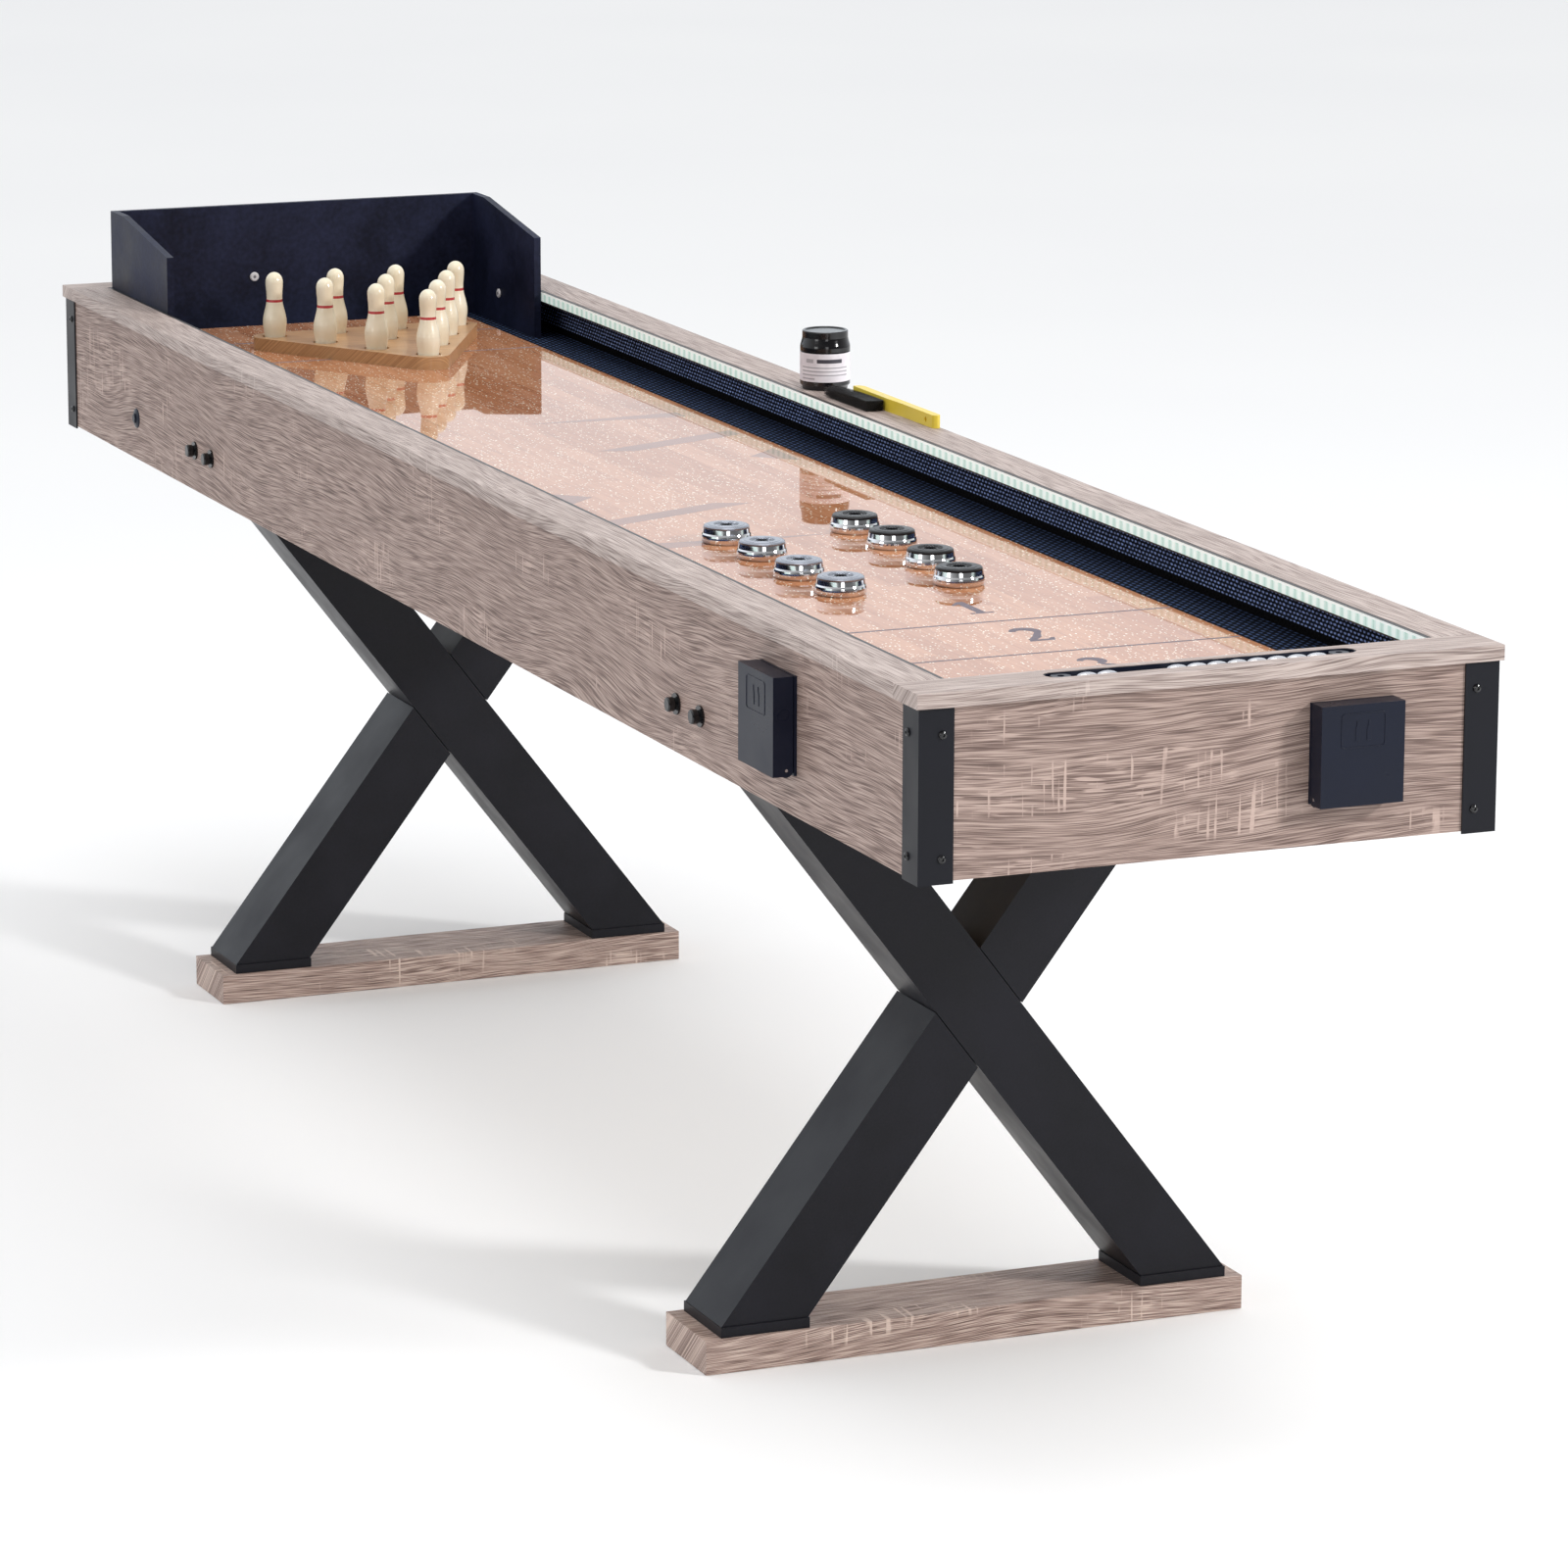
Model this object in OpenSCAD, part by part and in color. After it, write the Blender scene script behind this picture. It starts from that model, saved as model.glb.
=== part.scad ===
// Shuffleboard table with X legs, light strips, bead scorer, cup holders and a bowling set.
// Millimetres. X runs across the table, Y along it (the scorer end is at -Y, the bowling
// end at +Y) and Z up. The origin is on the floor, under the middle of the table top.

/* [Table] */
// Length over the end rails
table_length = 2743; // [2600:1:2900]
// Width over the side rails
table_width = 610; // [600:1:630]
// Height of the rail tops above the floor
table_height = 810; // [780:1:840]
// Thickness of the rails
rail_t = 15; // [12:1:18]
// Width of each side rail
rail_side_w = 48; // [46:1:50]
// Width of the rail at the scorer end
rail_near_w = 56; // [54:1:60]
// Width of the rail at the bowling end
rail_far_w = 42; // [40:1:44]
// Thickness of the aprons under the rails
apron_t = 12; // [12:1:15]
// Height of the lower edge of the aprons above the floor
apron_bottom = 630; // [610:1:640]
// How far the side rails stand out past the side aprons
side_overhang = 5; // [4:1:8]
// How far the end rails stand out past the end aprons
end_overhang = 6; // [5:1:8]

/* [Playfield] */
// Width of the playing board
playfield_w = 381; // [350:1:390]
// Thickness of the playing board
playfield_t = 18; // [16:1:20]
// Depth of the playing surface below the rail tops
playfield_drop = 45; // [42:1:48]
// Depth of the gutter floor below the playing surface
gutter_drop = 15; // [13:1:16]
// Near end of the playing board
playfield_near = -1184; // [-1190:1:-1150]
// Far end of the playing board
playfield_far = 1228; // [1200:1:1235]
// Thickness of the carpet in the gutters
carpet_t = 3; // [2:1:4]
// Thickness of the board under the playing board and the gutters
deck_t = 12; // [10:1:15]

/* [Legs] */
// Distance from the middle of the table to the middle of each leg
leg_y = 796; // [700:1:850]
// Width of a leg beam, square to its length
beam_w = 76; // [70:1:80]
// Depth of a leg beam along the table
beam_depth = 98; // [90:1:100]
// Thickness of a foot board
foot_t = 36; // [30:1:40]
// Depth of a foot board along the table
foot_depth = 110; // [108:1:120]
// Thickness of the plinth under each beam
plinth_t = 11; // [8:1:14]
// Distance from the table's middle line to the middle of a beam's foot
beam_foot_x = 236; // [225:1:240]
// Thickness of the board that the beams hang from
top_board_t = 36; // [30:1:36]

/* [Backboard] */
// Height of the backboard above the rail tops
backboard_rise = 99; // [80:1:120]
// Length of each side wing
wing_length = 231; // [200:1:240]
// Thickness of the backboard panels
backboard_t = 9; // [8:1:9]
// Gap between a wing and the inner edge of the side rail
wing_gap = 6; // [6:1:8]

/* [Scorer] */
// Length of the slot in the rail
slot_length = 324; // [320:1:330]
// Width of the slot in the rail
slot_w = 24; // [23:1:24]
// Distance from the outer edge of the rail to the middle of the slot
slot_inset = 33.5; // [33:0.5:34]
// Diameter of a bead
bead_d = 19; // [18:0.5:19]
// Length of a bead along the rod
bead_l = 20.4; // [19:0.1:20.4]
// Distance from one bead to the next
bead_pitch = 21; // [21:0.1:21.4]

/* [Cup holders] */
// Width of a folded cup holder
cup_w = 88; // [86:1:100]
// Height of a folded cup holder
cup_h = 98; // [92:1:104]
// Depth of a folded cup holder
cup_depth = 25; // [25:1:28]
// Height of the lower edge of the cup holders above the floor
cup_bottom = 671; // [660:1:675]

/* [Game pieces] */
// Diameter of a puck
puck_d = 54; // [50:1:56]
// Height of a puck
puck_h = 19.5; // [16:0.5:20]
// Height of a bowling pin
pin_h = 84; // [80:1:90]
// Distance between neighbouring pins
pin_pitch = 82; // [76:1:84]
// Thickness of the board that the pins stand on
pin_board_t = 16; // [10:1:18]
// Distance from the middle of the table to the head pin
head_pin_y = 832; // [800:1:860]
// Turn of the pin set on the playing board, in degrees
pin_set_turn = 2.2; // [-3:0.1:3]

/* [Hidden] */

$fn = 64;
eps = 0.01;
small_fn = 40;

// Colours
oak = [0.62, 0.54, 0.47];
black_paint = [0.09, 0.09, 0.11];
field_wood = [0.78, 0.56, 0.36];
carpet_navy = [0.05, 0.06, 0.10];
mint = [0.85, 0.97, 0.93];
steel = [0.75, 0.75, 0.78];
cream = [0.93, 0.89, 0.80];
raw_board = [0.72, 0.62, 0.48];

// Table frame
half_l = table_length / 2;
half_w = table_width / 2;
rail_bottom = table_height - rail_t;
apron_x = half_w - side_overhang;
apron_y = half_l - end_overhang;
inner_x = apron_x - apron_t;
inner_y = apron_y - apron_t;
rail_inner_x = half_w - rail_side_w;
rail_near_edge = -half_l + rail_near_w;
rail_far_edge = half_l - rail_far_w;

// Levels inside the table
field_top = table_height - playfield_drop;
gutter_top = field_top - gutter_drop;
deck_top = field_top - playfield_t;
deck_bottom = deck_top - deck_t;
field_half_w = playfield_w / 2;
carpet_side_gap = 0.3;

// Corner brackets: an L of thin sheet over each corner of the aprons
bracket_t = 2;
bracket_leg = 36;
bracket_below = 2.5;
bracket_top_gap = 0.5;
bracket_bottom = apron_bottom - bracket_below;
bracket_h = rail_bottom - bracket_top_gap - bracket_bottom;
bracket_screw_in = 24;
bracket_screw_z = [651.5, 769];
screw_head_r = 4.2;
screw_head_h = 2.4;
screw_shank_r = 2;
screw_shank_l = 12;
screw_fit = 0.05;

// Cross members under the deck board
cross_y = [-1200, -450, 0, 450, 1200];
cross_t = 18;
cross_h = 62;

// Light strips along the inner edges of the side rails
channel_t = 4.4;
channel_h = 14.4;
lens_t = 0.8;
lens_h = 11.6;
lens_drop = 1;

// Light switch in the left apron, and its battery box inside
switch_y = 1070;
switch_z = 682;
switch_flange_r = 12.5;
switch_flange_t = 2.5;
switch_body_r = 8;
switch_bore_r = 6.3;
switch_depth = 24;
button_r = 6;
button_stand_out = 4.5;
button_l = 12;
battery_box = [24, 96, 60];
battery_y = 980;
battery_z = 640;

// Legs
crossing_z = (foot_t + plinth_t + apron_bottom + 32) / 2;
beam_bottom = foot_t + plinth_t;
beam_top = 2 * crossing_z - beam_bottom;
beam_slope = beam_foot_x / (crossing_z - beam_bottom);
beam_half_x = beam_w / 2 * sqrt(1 + beam_slope * beam_slope);
beam_joint_gap = 1.2;
foot_half_x = 303;
plinth_margin_x = 1;
plinth_margin_y = 2;
top_board_half_x = inner_x - 0.5;
leg_bolt_spread = 32;
leg_bolt_z = beam_top + top_board_t / 2;
leg_bolt_r = 4;
leg_bolt_hole_r = 4.1;
leg_bolt_l = 62;
washer_r = 11;
washer_t = 2;
bolt_head_r = 7.5;
bolt_head_h = 9.3;
bolt_collar_r = 6.4;
bolt_collar_h = 1.5;

// Backboard
wing_x = rail_inner_x - wing_gap;
panel_far = rail_far_edge - 0.5;
panel_near = panel_far - backboard_t;
wing_top_flat = 42;
wing_front_rise = 70;
backboard_screw_z = [826, 876];
wing_cap_back = 99;
wing_cap_z = 790;
panel_cap_x = -61;
panel_cap_z = 814.6;
back_screw_head_r = 4;
back_screw_r = 1.5;
back_screw_l = 30;
cap_r = 6;
cap_t = 2;
cap_stem_r = 3;
cap_stem_l = 6;

// Scorer
slot_y = -half_l + slot_inset;
slot_end = slot_length / 2 - slot_w / 2;
tray_gap = 0.05;
tray_wall = 1.4;
tray_bottom = 787.5;
tray_top = table_height - 0.6;
rod_z = 800.4;
rod_r = 2.5;
rod_fit = 0.08;
socket_x = 145;
socket_r = 9.8;
socket_top = table_height - 1.4;
socket_hole_r = 3.4;
socket_hole_depth = 4;
rod_half_l = 140;
beads_left_x = [-118, -97];
beads_right_count = 8;
beads_right_last = 122;

// Cup holders
cup_side_y = -1031.5;
cup_end_x = 145.5;
plate_t = 3;
cover_wall = 2.4;
cover_front_t = 3;
cheek_t = 2.4;
cheek_gap = 0.6;
cheek_out = 18;
hinge_out = 11;
hinge_up = 6;
hinge_pin_r = 1.5;
hinge_fit = 0.08;
hinge_pin_out = 0.4;
cover_back = 4;
cover_heel_r = 7;
cup_rim_r = 37.5;
cup_rim_wall = 2;
cup_rim_h = 10;
cup_rim_up = 52;

// Pucks
puck_places_silver = [[-93, -388], [-92, -485], [-97, -597], [-92, -695]];
puck_places_black = [[58.5, -382], [60, -478], [54, -592], [41, -694]];
puck_stand_off = 0.05;
puck_hole_r = 6;

// Bowling set
pin_row_step = pin_pitch * sqrt(3) / 2;
pin_board_corner_r = 27;
pin_board_arc_step = 6;
pin_recess_r = 15.5;
pin_recess_depth = 3;
pin_stand_off = 0.05;
pin_base_r = 13;
pin_belly_r = 15;
pin_neck_r = 9.9;
pin_head_r = 11;
pin_foot_edge = 0.8;
pin_profile_steps = 7;

// Powder can and brush on the right rail
can_place = [293, 252];
can_r = 29.5;
can_h = 45;
can_foot_r = 26.5;
can_foot_h = 3;
can_mouth_r = 25;
can_mouth_h = 12;
can_wall = 2.2;
lid_h = 24;
lid_top_r = 27;
lid_wall = 1.6;
brush_x = 286;
brush_tip_y = 213;
brush_root_y = 75;
brush_end_y = -59;
brush_hole_y = -36;
bristle_h = 14;
bristle_tip_w = 41;
bristle_root_w = 37;
bristle_corner = 6;
handle_h = 15;
head_plate_end_y = 168;
head_plate_x = 7;
handle_out_x = 18.5;
head_plate_gap = 0.2;
handle_hole_r = 3;

// A box from its lowest corner to its highest corner
module block(low, high) {
    translate(low) cube(high - low);
}

// Both sides of the table: the shape and its mirror image across X = 0
module both_sides() {
    children();
    mirror([1, 0, 0]) children();
}

// A bar with round ends, lying along X
module stadium(half_spread, radius, height) {
    translate([-half_spread, -radius, 0]) cube([2 * half_spread, 2 * radius, height]);
    for (x = [-half_spread, half_spread]) translate([x, 0, 0]) cylinder(r = radius, h = height);
}

// A screw whose head's underside is at the origin and whose shank points along -Z
module dome_screw(head_r, head_h, shank_r, shank_l) {
    socket_r = head_r * 0.42;
    dome = [[0, 0], [head_r, 0], [head_r, head_h * 0.35], [head_r * 0.86, head_h * 0.75],
            [head_r * 0.55, head_h], [0, head_h]];
    difference() {
        union() {
            rotate_extrude() polygon(dome);
            translate([0, 0, -shank_l]) cylinder(r = shank_r, h = shank_l + eps);
        }
        translate([0, 0, head_h * 0.45]) cylinder(r = socket_r, h = head_h, $fn = 6);
    }
}

// Where the screws of one bracket go, at the corner with positive X and positive Y:
// two through the end leg and two through the side leg
module at_bracket_screws() {
    face_x = apron_x + bracket_t;
    face_y = apron_y + bracket_t;
    for (z = bracket_screw_z) {
        translate([face_x - bracket_screw_in, face_y, z]) rotate([-90, 0, 0]) children();
        translate([face_x, face_y - bracket_screw_in, z]) rotate([0, 90, 0]) children();
    }
}

module at_all_bracket_screws() {
    for (flip = [0, 1]) mirror([0, flip, 0]) both_sides() at_bracket_screws() children();
}

module bracket_screw_holes() {
    at_all_bracket_screws()
        translate([0, 0, -screw_shank_l - 1])
            cylinder(r = screw_shank_r + screw_fit, h = screw_shank_l + 2, $fn = small_fn);
}

// Bolts through the side aprons into the ends of the leg top boards
module at_leg_bolts() {
    for (leg = [-leg_y, leg_y])
        for (y = [leg - leg_bolt_spread, leg + leg_bolt_spread])
            both_sides() translate([apron_x, y, leg_bolt_z]) rotate([0, 90, 0]) children();
}

module leg_bolt_holes() {
    at_leg_bolts() translate([0, 0, -leg_bolt_l - 2])
        cylinder(r = leg_bolt_hole_r, h = leg_bolt_l + 4, $fn = small_fn);
}

// ---- Table frame ----

module side_apron() {
    difference() {
        block([inner_x, -inner_y, apron_bottom], [apron_x, inner_y, rail_bottom]);
        leg_bolt_holes();
        bracket_screw_holes();
    }
}

module apron_left() {
    color(oak) difference() {
        mirror([1, 0, 0]) side_apron();
        translate([-apron_x - 1, switch_y, switch_z]) rotate([0, 90, 0])
            cylinder(r = switch_body_r + 0.1, h = apron_t + 2);
    }
}

module apron_right() {
    color(oak) side_apron();
}

module end_apron() {
    difference() {
        block([-apron_x, inner_y, apron_bottom], [apron_x, apron_y, rail_bottom]);
        bracket_screw_holes();
    }
}

module apron_near() {
    color(oak) mirror([0, 1, 0]) end_apron();
}

module apron_far() {
    color(oak) end_apron();
}

module side_rail() {
    block([rail_inner_x, rail_near_edge, rail_bottom], [half_w, rail_far_edge, table_height]);
}

module rail_left() {
    color(oak) mirror([1, 0, 0]) side_rail();
}

module rail_right() {
    color(oak) side_rail();
}

module rail_near() {
    color(oak) difference() {
        block([-half_w, -half_l, rail_bottom], [half_w, rail_near_edge, table_height]);
        translate([0, slot_y, rail_bottom - 1]) stadium(slot_end, slot_w / 2, rail_t + 2);
    }
}

module rail_far() {
    color(oak) block([-half_w, rail_far_edge, rail_bottom], [half_w, half_l, table_height]);
}

module corner_bracket() {
    difference() {
        block([apron_x + bracket_t - bracket_leg, apron_y + bracket_t - bracket_leg, bracket_bottom],
              [apron_x + bracket_t, apron_y + bracket_t, bracket_bottom + bracket_h]);
        block([0, 0, bracket_bottom - 1], [apron_x, apron_y, bracket_bottom + bracket_h + 1]);
    }
}

module corner_brackets() {
    color(black_paint) difference() {
        for (flip = [0, 1]) mirror([0, flip, 0]) both_sides() corner_bracket();
        bracket_screw_holes();
    }
}

module bracket_screws() {
    color(black_paint) at_all_bracket_screws()
        dome_screw(screw_head_r, screw_head_h, screw_shank_r, screw_shank_l, $fn = small_fn);
}

module deck_board() {
    color(raw_board) block([-inner_x, -inner_y, deck_bottom], [inner_x, inner_y, deck_top]);
}

module cross_members() {
    color(raw_board) for (y = cross_y)
        block([-inner_x, y - cross_t / 2, deck_bottom - cross_h], [inner_x, y + cross_t / 2, deck_bottom]);
}

module playfield() {
    color(field_wood)
        block([-field_half_w, playfield_near, deck_top], [field_half_w, playfield_far, field_top]);
}

module floor_carpets() {
    edge = field_half_w + carpet_side_gap;
    color(carpet_navy) {
        both_sides() block([edge, -inner_y, deck_top], [inner_x, inner_y, gutter_top]);
        block([-edge + 0.1, -inner_y, deck_top], [edge - 0.1, playfield_near - carpet_side_gap, gutter_top]);
        block([-edge + 0.1, playfield_far + carpet_side_gap, deck_top], [edge - 0.1, inner_y, gutter_top]);
    }
}

module wall_carpets() {
    near_carpet_top = tray_bottom - 3;
    color(carpet_navy) {
        both_sides() block([inner_x - carpet_t, -inner_y, gutter_top], [inner_x, inner_y, rail_bottom]);
        block([-inner_x + carpet_t + 0.1, -inner_y, gutter_top],
              [inner_x - carpet_t - 0.1, -inner_y + carpet_t, near_carpet_top]);
    }
}

// ---- Light strips ----

module led_channels() {
    channel_top = table_height - (rail_t - channel_h) / 2;
    color(black_paint) both_sides() difference() {
        block([rail_inner_x - channel_t, rail_near_edge + 0.2, channel_top - channel_h],
              [rail_inner_x, rail_far_edge - 0.2, channel_top]);
        block([rail_inner_x - channel_t - 1, rail_near_edge - 1, channel_top - lens_drop - lens_h],
              [rail_inner_x - channel_t + lens_t + 0.6, rail_far_edge + 1, channel_top - lens_drop]);
    }
}

module led_lenses() {
    channel_top = table_height - (rail_t - channel_h) / 2;
    color(mint) both_sides()
        block([rail_inner_x - channel_t, rail_near_edge + 0.3, channel_top - lens_drop - lens_h + 0.1],
              [rail_inner_x - channel_t + lens_t + 0.5, rail_far_edge - 0.3, channel_top - lens_drop - 0.1]);
}

module led_battery_box() {
    lid_line = 2;
    color(black_paint) translate([-inner_x, battery_y - battery_box[1] / 2, battery_z]) difference() {
        cube(battery_box);
        translate([battery_box[0] - 1, lid_line, lid_line])
            cube([2, battery_box[1] - 2 * lid_line, battery_box[2] - 2 * lid_line]);
    }
}

// Along the switch: the origin is on the outer face of the apron, and +Z points out of it
module at_switch() {
    translate([-apron_x, switch_y, switch_z]) rotate([0, -90, 0]) children();
}

module led_switch_housing() {
    bore_depth = 16;
    color(black_paint) at_switch() difference() {
        union() {
            rotate_extrude() polygon([[0, 0], [switch_flange_r, 0], [switch_flange_r - 0.4, 1],
                                      [switch_bore_r + 1.5, switch_flange_t], [0, switch_flange_t]]);
            translate([0, 0, -switch_depth]) cylinder(r = switch_body_r, h = switch_depth + eps);
        }
        translate([0, 0, switch_flange_t - bore_depth]) cylinder(r = switch_bore_r, h = bore_depth + 1);
    }
}

module led_switch_button() {
    top = button_stand_out;
    color(black_paint) at_switch() rotate_extrude()
        polygon([[0, top - button_l], [button_r, top - button_l], [button_r, top - 1.2],
                 [button_r - 1.2, top], [0, top]]);
}

// ---- Legs ----

// One whole beam from its foot at +X up to the other side, drawn on the X-Z plane
function beam_outline() = [
    [beam_foot_x - beam_half_x, beam_bottom], [beam_foot_x + beam_half_x, beam_bottom],
    [-beam_foot_x + beam_half_x, beam_top], [-beam_foot_x - beam_half_x, beam_top]];

// The lower half of the crossing beam, cut along the edge of the whole beam
function short_outline() = let (
    reach = 2 * beam_foot_x - beam_joint_gap,
    tip_z = beam_bottom + reach / (2 * beam_slope),
    heel_z = beam_bottom + (reach - 2 * beam_half_x) / (2 * beam_slope))
    [[-beam_foot_x - beam_half_x, beam_bottom], [-beam_foot_x + beam_half_x, beam_bottom],
     [-beam_joint_gap / 2, heel_z], [-beam_joint_gap / 2 - beam_half_x, tip_z]];

// An outline on the X-Z plane made into a beam centred on Y = 0
module beam(outline) {
    translate([0, beam_depth / 2, 0]) rotate([90, 0, 0]) linear_extrude(beam_depth) polygon(outline);
}

module long_beam(y) {
    color(black_paint) translate([0, y, 0]) beam(beam_outline());
}

module short_beams(y) {
    color(black_paint) translate([0, y, 0]) {
        beam(short_outline());
        translate([0, 0, 2 * crossing_z]) rotate([0, 180, 0]) beam(short_outline());
    }
}

module long_beam_near() {
    long_beam(-leg_y);
}

module short_beams_near() {
    short_beams(-leg_y);
}

module long_beam_far() {
    long_beam(leg_y);
}

module short_beams_far() {
    short_beams(leg_y);
}

module leg_plinths() {
    half_x = beam_half_x + plinth_margin_x;
    half_y = beam_depth / 2 + plinth_margin_y;
    color(black_paint) for (y = [-leg_y, leg_y]) both_sides()
        block([beam_foot_x - half_x, y - half_y, foot_t],
              [beam_foot_x + half_x, y + half_y, foot_t + plinth_t]);
}

module leg_top_boards() {
    color(raw_board) difference() {
        for (y = [-leg_y, leg_y])
            block([-top_board_half_x, y - foot_depth / 2, beam_top],
                  [top_board_half_x, y + foot_depth / 2, beam_top + top_board_t]);
        leg_bolt_holes();
    }
}

module foot_board(y) {
    color(oak) block([-foot_half_x, y - foot_depth / 2, 0], [foot_half_x, y + foot_depth / 2, foot_t]);
}

module foot_board_near() {
    foot_board(-leg_y);
}

module foot_board_far() {
    foot_board(leg_y);
}

module leg_bolts() {
    bolt_head = [[0, 0], [bolt_collar_r, 0], [bolt_collar_r, bolt_collar_h],
                 [bolt_head_r, bolt_collar_h + 1], [bolt_head_r, bolt_head_h - 1.5],
                 [bolt_head_r - 0.5, bolt_head_h - 0.4], [bolt_head_r - 1.5, bolt_head_h], [0, bolt_head_h]];
    color(black_paint) at_leg_bolts() {
        difference() {
            cylinder(r = washer_r, h = washer_t);
            translate([0, 0, -1]) cylinder(r = leg_bolt_hole_r, h = washer_t + 2, $fn = small_fn);
        }
        translate([0, 0, washer_t]) rotate_extrude() polygon(bolt_head);
        translate([0, 0, washer_t - leg_bolt_l])
            cylinder(r = leg_bolt_r, h = leg_bolt_l + eps, $fn = small_fn);
    }
}

// ---- Backboard ----

module wing_outline() {
    top = table_height + backboard_rise;
    front = panel_near - wing_length;
    polygon([[front, gutter_top], [panel_near, gutter_top], [panel_near, top],
             [panel_near - wing_top_flat, top], [front, table_height + wing_front_rise]]);
}

module at_wing_cap() {
    translate([wing_x - backboard_t, panel_near - wing_cap_back, wing_cap_z]) rotate([0, -90, 0]) children();
}

module at_panel_cap() {
    translate([panel_cap_x, panel_near, panel_cap_z]) rotate([90, 0, 0]) children();
}

module cap_hole() {
    translate([0, 0, -cap_stem_l - 0.5])
        cylinder(r = cap_stem_r + screw_fit, h = cap_stem_l + 1, $fn = small_fn);
}

module at_backboard_screws() {
    for (z = backboard_screw_z) both_sides()
        translate([wing_x - backboard_t / 2, panel_far, z]) rotate([-90, 0, 0]) children();
}

module backboard_screw_holes() {
    at_backboard_screws() translate([0, 0, -back_screw_l - 1])
        cylinder(r = back_screw_r + screw_fit, h = back_screw_l + 2, $fn = small_fn);
}

module backboard_wing() {
    difference() {
        translate([wing_x - backboard_t, 0, 0])
            rotate([90, 0, 90]) linear_extrude(backboard_t) wing_outline();
        at_wing_cap() cap_hole();
        backboard_screw_holes();
    }
}

module backboard_wing_left() {
    color(black_paint) mirror([1, 0, 0]) backboard_wing();
}

module backboard_wing_right() {
    color(black_paint) backboard_wing();
}

module backboard_panel() {
    color(black_paint) difference() {
        block([-wing_x, panel_near, gutter_top], [wing_x, panel_far, table_height + backboard_rise]);
        at_panel_cap() cap_hole();
        backboard_screw_holes();
    }
}

module backboard_screws() {
    color(black_paint) at_backboard_screws()
        dome_screw(back_screw_head_r, screw_head_h, back_screw_r, back_screw_l, $fn = small_fn);
}

module cap() {
    rotate_extrude() polygon([[0, 0], [cap_r, 0], [cap_r, cap_t * 0.5], [cap_r - 1.2, cap_t], [0, cap_t]]);
    translate([0, 0, -cap_stem_l]) cylinder(r = cap_stem_r, h = cap_stem_l + eps, $fn = small_fn);
}

module backboard_caps() {
    color("white") {
        both_sides() at_wing_cap() cap();
        at_panel_cap() cap();
    }
}

// ---- Scorer ----

module scorer_tray() {
    outer_r = slot_w / 2 - tray_gap;
    color(black_paint) translate([0, slot_y, 0]) difference() {
        translate([0, 0, tray_bottom]) stadium(slot_end, outer_r, tray_top - tray_bottom);
        translate([0, 0, tray_bottom + tray_wall])
            stadium(slot_end, outer_r - tray_wall, tray_top - tray_bottom);
    }
}

module scorer_rod() {
    socket_bore_end = rod_half_l + 1;
    floor_z = tray_bottom + tray_wall;
    color(steel) translate([0, slot_y, 0]) {
        translate([-rod_half_l, 0, rod_z]) rotate([0, 90, 0]) cylinder(r = rod_r, h = 2 * rod_half_l);
        both_sides() difference() {
            translate([socket_x, 0, floor_z]) cylinder(r = socket_r, h = socket_top - floor_z);
            translate([0, 0, rod_z]) rotate([0, 90, 0]) cylinder(r = rod_r + screw_fit, h = socket_bore_end);
            translate([socket_x, 0, socket_top - socket_hole_depth])
                cylinder(r = socket_hole_r, h = socket_hole_depth + 1);
        }
    }
}

// A barrel bead on the rod at x
module bead(x) {
    half = bead_l / 2;
    r = bead_d / 2;
    bore_r = rod_r + rod_fit;
    edge_r = r * 0.62;
    barrel = [for (a = [-90:15:90]) [edge_r + (r - edge_r) * cos(a), half * sin(a)]];
    translate([x, slot_y, rod_z]) rotate([0, 90, 0]) rotate_extrude()
        polygon(concat([[bore_r, -half]], barrel, [[bore_r, half]]));
}

module scorer_beads_left() {
    color(steel) for (x = beads_left_x) bead(x);
}

module scorer_beads_right() {
    color(steel) for (i = [0:beads_right_count - 1]) bead(beads_right_last - i * bead_pitch);
}

// ---- Cup holders ----
// Drawn with the apron's face at Y = 0, outwards along -Y, X across and Z from the holder's lower edge

module at_side_holder() {
    translate([-apron_x, cup_side_y, cup_bottom]) rotate([0, 0, -90]) children();
}

module at_end_holder() {
    translate([cup_end_x, -apron_y, cup_bottom]) children();
}

// A cylinder along X, centred on the hinge
module hinge_rod(radius, from, to) {
    translate([from, -hinge_out, hinge_up]) rotate([0, 90, 0])
        cylinder(r = radius, h = to - from, $fn = small_fn);
}

module cup_plate() {
    cheek_outer = cup_w / 2 - cover_wall - cheek_gap;
    cheek_bottom = hinge_up - 4;
    cheek_top = cup_h - cover_wall - 1;
    color(black_paint) {
        difference() {
            union() {
                block([-cup_w / 2, -plate_t, 0], [cup_w / 2, 0, cup_h]);
                both_sides() block([cheek_outer - cheek_t, -cheek_out, cheek_bottom],
                                   [cheek_outer, -plate_t + eps, cheek_top]);
            }
            hinge_rod(hinge_pin_r, -cup_w, cup_w);
        }
    }
}

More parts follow.
